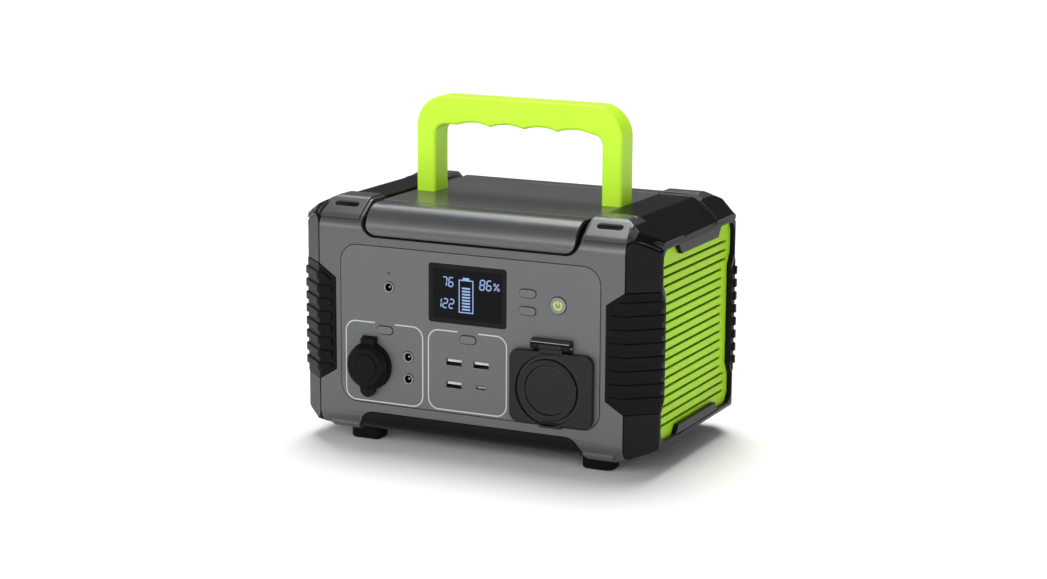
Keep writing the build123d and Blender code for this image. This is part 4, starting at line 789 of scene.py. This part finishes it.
def pill_lamps():
    """A small lamp at the left end of three of the pill buttons."""
    for name in ("ac_button", "car_button", "usb_button"):
        low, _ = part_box(name)
        x, z = centre_mm(name)
        ring = circle_ring((x + PILL_LAMP_X, z), PILL_LAMP_R, 16)
        put(f"{name}_lamp", front_strip(ring, 0.55, True, low.y, -0.02, 0.05), "teal_light", name)


power_symbol()
pill_lamps()


# ---------------------------------------------------------------- outlet flap
FLAP_HALF = (31.75, 26.25)  # half of the plate's width and height
FLAP_CORNER = 7.0
FLAP_STAND = 4.9  # from the panel's face out to the flap's
FLAP_THICK = 4.0
FLAP_ROUND = 1.1  # rounding of the plate's front edge
RING_SHIFT = (-1.75, -1.25)  # from the plate's middle to the middle of the round relief
# The round relief from its rim inwards: radius, and depth below the flap's face
RELIEF = (
    (25.3, 0.0), (25.15, 0.06), (25.0, 0.3), (24.9, 1.9), (24.6, 2.2), (22.3, 2.2), (22.0, 1.9),
    (21.8, 0.4), (21.6, 0.1), (21.3, 0.0), (18.3, 0.0), (18.0, 0.1), (17.8, 0.3), (17.6, 1.2),
    (17.3, 1.5), (14.0, 1.5), (9.0, 1.5), (4.0, 1.5),
)
# Painted shadow: dark rings laid on the floors of the round groove and of the disc's rim, where shade
# falls
PAINTED_GROOVE_SHADOWS = ((23.45, 2.1, 2.14), (16.6, 0.7, 1.46))  # radius, width and depth of each
RING_POINTS = 240
TAB_HALF = 8.5
TAB_HIGH = 3.6
TAB_BELOW = 1.8  # how far the latch tab reaches below the plate
HINGE_HALF = 8.7
HINGE_R = 2.7
HOOD_HALF = 15.1
HOOD_OUT = 4.4  # how far the ledge over the hinge stands off the panel
HOOD_HIGH = 2.2
HOOD_GAP = 0.2  # between the flap's hinge and the ledge


def edge_distance(x, z, half, r):
    """Signed distance from the edge of a rounded rectangle round the origin."""
    over_x = abs(x) - half[0] + r
    over_z = abs(z) - half[1] + r
    outside = Vector((max(over_x, 0.0), max(over_z, 0.0))).length
    return outside - r + min(max(over_x, over_z), 0.0)


def rounded_ring(middle, pole, inset, count):
    """Points of the flap's outline, shrunk by an inset, seen evenly from a pole inside it."""
    half = (FLAP_HALF[0] - inset, FLAP_HALF[1] - inset)
    ring = []
    for k in range(count):
        along = Vector((cos(tau * k / count), sin(tau * k / count)))
        near = 0.0
        far = 2 * FLAP_HALF[0]
        for _ in range(28):
            reach = (near + far) / 2
            spot = Vector(pole) + along * reach - Vector(middle)
            if edge_distance(spot.x, spot.y, half, FLAP_CORNER - inset) < 0.0:
                near = reach
            else:
                far = reach
        ring.append(tuple(Vector(pole) + along * near))
    return ring


def lofted(rings):
    """A closed skin through rings of points (x, z), each at its own y, with flat ends."""
    bm = bmesh.new()
    loops = [[bm.verts.new((x * MM, y, z * MM)) for x, z in ring] for ring, y in rings]
    count = len(loops[0])
    for first, second in zip(loops, loops[1:]):
        for k in range(count):
            bm.faces.new((first[k], first[(k + 1) % count], second[(k + 1) % count], second[k]))
    bm.faces.new(loops[0])
    bm.faces.new(list(reversed(loops[-1])))
    bmesh.ops.recalc_face_normals(bm, faces=bm.faces)
    return bm


def soft_block(low, high, r):
    """A box between two corners (in millimetres) with rounded edges."""
    bm = bmesh.new()
    bmesh.ops.create_cube(bm, size=1.0)
    for vert in bm.verts:
        vert.co = Vector([(low[a] + (vert.co[a] + 0.5) * (high[a] - low[a])) * MM for a in range(3)])
    bmesh.ops.bevel(bm, geom=bm.edges[:], offset=r * MM, segments=3, profile=0.5, affect="EDGES")
    return bm


def hinge_barrel(middle_x, half, y, z, r):
    """A hinge barrel along x with softened ends."""
    bm = bmesh.new()
    turned = Matrix.Translation((middle_x * MM, y * MM, z * MM)) @ Matrix.Rotation(pi / 2, 4, "Y")
    bmesh.ops.create_cone(bm, cap_ends=True, segments=48, radius1=r * MM, radius2=r * MM,
                          depth=2 * half * MM, matrix=turned)
    rims = [e for e in bm.edges if e.calc_face_angle(0.0) > 1.0]
    bmesh.ops.bevel(bm, geom=rims, offset=0.4 * MM, segments=3, profile=0.5, affect="EDGES")
    return bm


def flap_rings(middle, pole, front):
    """The plate from its back edge round to the front, and the relief down to the disc's middle."""
    profile = [(0.0, FLAP_THICK), (0.0, FLAP_ROUND)]
    for k in range(1, 7):
        turn = pi * k / 12
        profile.append((FLAP_ROUND * (1 - cos(turn)), FLAP_ROUND * (1 - sin(turn))))
    rings = []
    for inset, back in profile:
        rings.append((rounded_ring(middle, pole, inset, RING_POINTS), (front + back) * MM))
    for r, back in RELIEF:
        rings.append((circle_ring(pole, r, RING_POINTS), (front + back) * MM))
    return rings


def outlet_flap():
    """The flap over the outlet: a plate with a round groove, a sunk disc, a latch tab and a barrel."""
    low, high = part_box("ac_flap")
    middle_x = (low.x + high.x) / 2 / MM
    hinge_z = high.z / MM - HINGE_R
    hinge_y = (low.y + high.y) / 2 / MM
    tab_low = low.z / MM
    middle = (middle_x, tab_low + TAB_BELOW + FLAP_HALF[1])
    pole = (middle_x + RING_SHIFT[0], middle[1] + RING_SHIFT[1])
    front = PANEL_Y / MM - FLAP_STAND
    tab = soft_block((middle_x - TAB_HALF, front, tab_low),
                     (middle_x + TAB_HALF, front + FLAP_THICK, tab_low + TAB_HIGH), 0.6)
    web = soft_block((middle_x - HINGE_HALF, hinge_y - 1.6, hinge_z - 5.5),
                     (middle_x + HINGE_HALF, hinge_y + 1.6, hinge_z - 0.5), 0.3)
    barrel = hinge_barrel(middle_x, HINGE_HALF, hinge_y, hinge_z, HINGE_R)
    plate = lofted(flap_rings(middle, pole, front))
    piece = put("outlet_flap", join([plate, tab, web, barrel]), "flap_black", BODY_OF["ac_flap"],
                smooth_angle=42.0)
    even_shading(piece)
    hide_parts("ac_flap")
    # Painted shadow: dark rings on the groove floors stand in for the shade in the grooves
    shadow_rings = []
    for r, width, back in PAINTED_GROOVE_SHADOWS:
        ring = circle_ring(pole, r, RING_POINTS)
        shadow_rings.append(front_strip(ring, width, True, (front + back) * MM, 0.0))
    put("flap_groove_painted_shadow", join(shadow_rings), "painted_shadow_dark", BODY_OF["ac_flap"])


def hinge_hood():
    """The black ledge over the flap's hinge, on the panel, and the steel line under it."""
    low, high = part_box("ac_flap")
    middle_x = (low.x + high.x) / 2 / MM
    base = high.z / MM + HOOD_GAP
    face = PANEL_Y / MM
    hood = soft_block((middle_x - HOOD_HALF, face - HOOD_OUT, base),
                      (middle_x + HOOD_HALF, face, base + HOOD_HIGH), 0.5)
    put("flap_hinge_hood", hood, "flap_black", "case", smooth_angle=42.0)
    line = soft_block((middle_x - HOOD_HALF + 0.5, face - HOOD_OUT - 0.1, base - 0.4),
                      (middle_x + HOOD_HALF - 0.5, face - HOOD_OUT + 0.2, base), 0.08)
    put("flap_hinge_line", line, "steel", "case")


outlet_flap()
hinge_hood()


# ---------------------------------------------------------------- upper corners
RECESS_X = 103.3  # middle of each recess: from the object's middle,
RECESS_IN = 12.1  # from the cover's outer face
RECESS_Z = 175.1  # and from the ground
RECESS_DEPTH = 1.45
RECESS_STRAIGHT = 7.1  # half of its straight length
RECESS_R = 2.45
RECESS_POINTS = 32
PAD_LEAN = Vector((0.0, -14.1, 19.5)).normalized()  # square to the sloping pad of the front cover
# Both edges of a corner band on the front right: its ends and a point between them
FACET_EDGE = (Vector((120.6, 1.2, 168.6)), Vector((129.5, 9.0, 166.6)), Vector((139.2, 17.6, 161.6)))
SLOPE_EDGE = (Vector((117.0, 15.0, 176.6)), Vector((128.0, 21.5, 171.0)), Vector((139.6, 23.2, 164.6)))
BAND_OUTWARD = Vector((0.526, -0.231, 0.818))
BAND_RISE = 1.6  # how far a band swells out along its middle
BAND_THICK = 2.0
BAND_LIMIT = 141.5  # no band reaches further out than this
BAND_LONG = 24  # steps along a band
BAND_WIDE = 12  # and across it


def cover_faces():
    """The front and the rear cover: its end's name, its outer face's y, and which way is inwards."""
    front_low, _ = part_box("front_cover")
    _, rear_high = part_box("rear_cover")
    return ("front", front_low.y, 1.0), ("rear", rear_high.y, -1.0)


def recess_painted_shade():
    """Painted shade: a dark sheet on the floor of the long recess in each upper front and rear corner pad.
    """
    up_slope = Vector((0.0, PAD_LEAN.z, -PAD_LEAN.y))
    for end, face_y, flip in cover_faces():
        bm = bmesh.new()
        for side in (-1, 1):
            middle = Vector((side * RECESS_X, RECESS_IN, RECESS_Z)) - PAD_LEAN * RECESS_DEPTH
            verts = []
            for k in range(RECESS_POINTS):
                turn = tau * k / RECESS_POINTS
                straight = RECESS_STRAIGHT if cos(turn) > 0 else -RECESS_STRAIGHT
                along = straight + RECESS_R * cos(turn)
                spot = middle + Vector((along, 0.0, 0.0)) + up_slope * RECESS_R * sin(turn)
                verts.append(bm.verts.new((spot.x * MM, face_y + flip * spot.y * MM, spot.z * MM)))
            bm.faces.new(verts)
        bmesh.ops.solidify(bm, geom=bm.faces[:], thickness=0.1 * MM)
        bmesh.ops.recalc_face_normals(bm, faces=bm.faces)
        put(f"{end}_recess_painted_shade", bm, "painted_shadow_dark", "case")


def parabola(points, t):
    """Place at t, from 0 to 1, on a curve through a first, a middle and a last point."""
    a, b, c = points
    return a * (1 - t) ** 2 + (b * 2 - (a + c) / 2) * 2 * t * (1 - t) + c * t ** 2


def band_skin(bm, lift, side, face_y, flip):
    """One skin of a corner band, as rows of vertices along it."""
    rows = []
    for i in range(BAND_LONG + 1):
        facet = parabola(FACET_EDGE, i / BAND_LONG)
        slope = parabola(SLOPE_EDGE, i / BAND_LONG)
        row = []
        for j in range(BAND_WIDE + 1):
            u = j / BAND_WIDE
            spot = facet.lerp(slope, u) + BAND_OUTWARD * (BAND_RISE * sin(pi * u) + lift)
            x = side * min(spot.x, BAND_LIMIT) * MM
            row.append(bm.verts.new((x, face_y + flip * spot.y * MM, spot.z * MM)))
        rows.append(row)
    return rows


def hip_band(side, face_y, flip):
    """A closed band over one upper corner."""
    bm = bmesh.new()
    top = band_skin(bm, 0.0, side, face_y, flip)
    bottom = band_skin(bm, -BAND_THICK, side, face_y, flip)
    for rows in (top, bottom):
        for i in range(BAND_LONG):
            for j in range(BAND_WIDE):
                bm.faces.new((rows[i][j], rows[i + 1][j], rows[i + 1][j + 1], rows[i][j + 1]))
    for j in range(BAND_WIDE):
        for i in (0, BAND_LONG):
            bm.faces.new((top[i][j], top[i][j + 1], bottom[i][j + 1], bottom[i][j]))
    for i in range(BAND_LONG):
        for j in (0, BAND_WIDE):
            bm.faces.new((top[i][j], top[i + 1][j], bottom[i + 1][j], bottom[i][j]))
    bmesh.ops.recalc_face_normals(bm, faces=bm.faces)
    return bm


def hip_bands():
    """Satin bands that round off the edge between each corner facet and the side slope."""
    for end, face_y, flip in cover_faces():
        for side_name, side in (("left", -1), ("right", 1)):
            band = hip_band(side, face_y, flip)
            put(f"{end}_{side_name}_hip_band", band, "satin_black", "case", smooth_angle=50.0)


recess_painted_shade()
hip_bands()

bpy.context.scene.view_settings.view_transform = "Standard"
